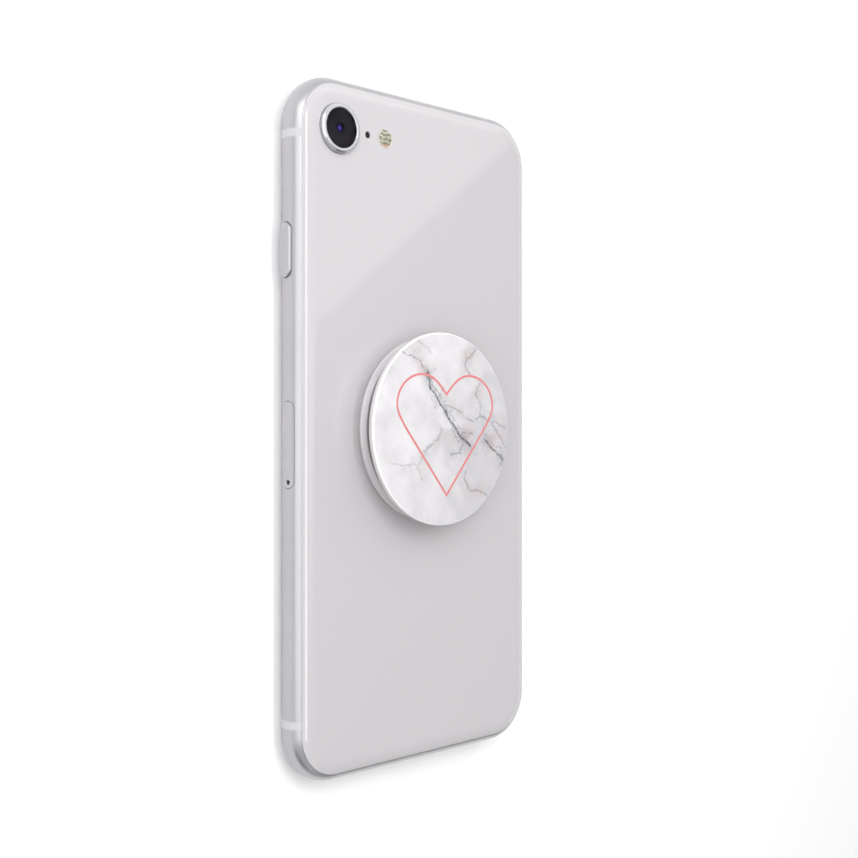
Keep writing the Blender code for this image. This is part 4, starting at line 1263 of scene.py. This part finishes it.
def make_floor():
    """A level board just under the glass."""
    bm = bmesh.new()
    bmesh.ops.create_grid(bm, x_segments=1, y_segments=1, size=FLOOR_HALF)
    bmesh.ops.translate(bm, vec=(0, 0, -0.0001), verts=bm.verts)
    mesh = bpy.data.meshes.new("floor")
    bm.to_mesh(mesh)
    bm.free()
    mesh.materials.append(floor_paint())
    floor = bpy.data.objects.new("floor", mesh)
    bpy.context.scene.collection.objects.link(floor)


def softbox(name, at, target, size, power, roll=0.0):
    """A rectangular area light aimed at a point. Places are in metres, power is in watts."""
    light = bpy.data.lights.new(name, "AREA")
    light.shape = "RECTANGLE"
    light.size, light.size_y = size
    light.energy = power
    holder = bpy.data.objects.new(name, light)
    bpy.context.scene.collection.objects.link(holder)
    aim = (Vector(target) - Vector(at)).to_track_quat("-Z", "Y").to_matrix()
    holder.matrix_world = Matrix.Translation(at) @ (aim @ Matrix.Rotation(roll, 3, "Z")).to_4x4()
    return holder


# Each softbox's name, place, target, size and power
SOFTBOXES = [
    ("low_wall_softbox", (-1.1, 0.25, 0.3), (0, 0.25, 0.3), (2.2, 0.6), 3.6),
    ("left_key_softbox", (-0.48, 0.18, 0.56), (0, 0.07, 0), (1.04, 0.62), 3.3),
    ("overhead_strip", (-0.03, 0.03, 0.5), (0, 0.03, 0), (0.5, 0.085), 0.75),
    ("camera_end_softbox", (0.2, 1.0, 0.5), (0.2, 0, 0.1), (2.4, 1.0), 7.6),
    ("port_end_softbox", (0.7, -1.1, 0.35), (0.3, 0, 0.1), (2.0, 0.7), 1.3),
    ("lower_fill_softbox", (-0.35, -0.85, 0.75), (0, 0, 0), (1.6, 1.0), 3.0),
    ("low_right_softbox", (1.2, 0.1, 0.3), (0, 0.1, 0.2), (1.6, 0.5), 2.6),
]
# The window hangs level, and its long lower edge is mirrored in the glass as a slanting line.
WINDOW_EDGE_ANGLE = math.atan2(0.2716, 0.353)
WINDOW_EDGE_AT = (0.969, 0.255, 1.0)
WINDOW_SIZE = (1.6, 0.9)


def make_light():
    """Soft boxes round the phone in a dim white room."""
    world = bpy.data.worlds.new("studio_walls")
    bpy.context.scene.world = world
    world.use_nodes = True
    background = world.node_tree.nodes["Background"]
    background.inputs["Color"].default_value = linear("ffffff")
    background.inputs["Strength"].default_value = 0.12
    for settings in SOFTBOXES:
        softbox(*settings)
    corner_light = softbox("upper_left_softbox", (-0.32, 0.42, 0.6), (-0.06, 0.09, 0),
                           (0.24, 0.24), 0.045)
    corner_light.data.spread = math.radians(40)
    half = WINDOW_SIZE[1] / 2
    inward = Vector((-math.sin(WINDOW_EDGE_ANGLE), math.cos(WINDOW_EDGE_ANGLE), 0))
    middle = Vector(WINDOW_EDGE_AT) + half * inward
    softbox("window_softbox", middle, middle - Vector((0, 0, 1)), WINDOW_SIZE, 5.2,
            WINDOW_EDGE_ANGLE)


def make_camera():
    """Level with the phone's middle, 45 degrees out from its back on the tray side, with
    the camera end up."""
    lens = bpy.data.cameras.new("camera")
    lens.lens = 53.21
    lens.sensor_width = 36.0
    camera = bpy.data.objects.new("camera", lens)
    bpy.context.scene.collection.objects.link(camera)
    swing = math.radians(45.03)
    right = Vector((math.cos(swing), 0, math.sin(swing)))
    up = Vector((0, 1, 0))
    back = Vector((-math.sin(swing), 0, math.cos(swing)))
    turn = Matrix((right, up, back)).transposed().to_4x4()
    camera.matrix_world = Matrix.Translation((-0.1864, 0.0, 0.1951)) @ turn
    bpy.context.scene.camera = camera


make_camera()
make_light()
make_floor()
make_frame()
make_seam_beads()
make_rear_glass()
make_front_glass()
make_rear_camera()
make_flash_and_microphone()
make_home_button()
make_keys()
make_ring_switch()
make_card_tray()
make_charging_port()
make_screws()
make_grip_base()
make_grip_head()
make_heart()
make_sleeve()
finish_inner_nodes()
bpy.context.scene.view_settings.view_transform = "Standard"

bpy.context.view_layer.update()
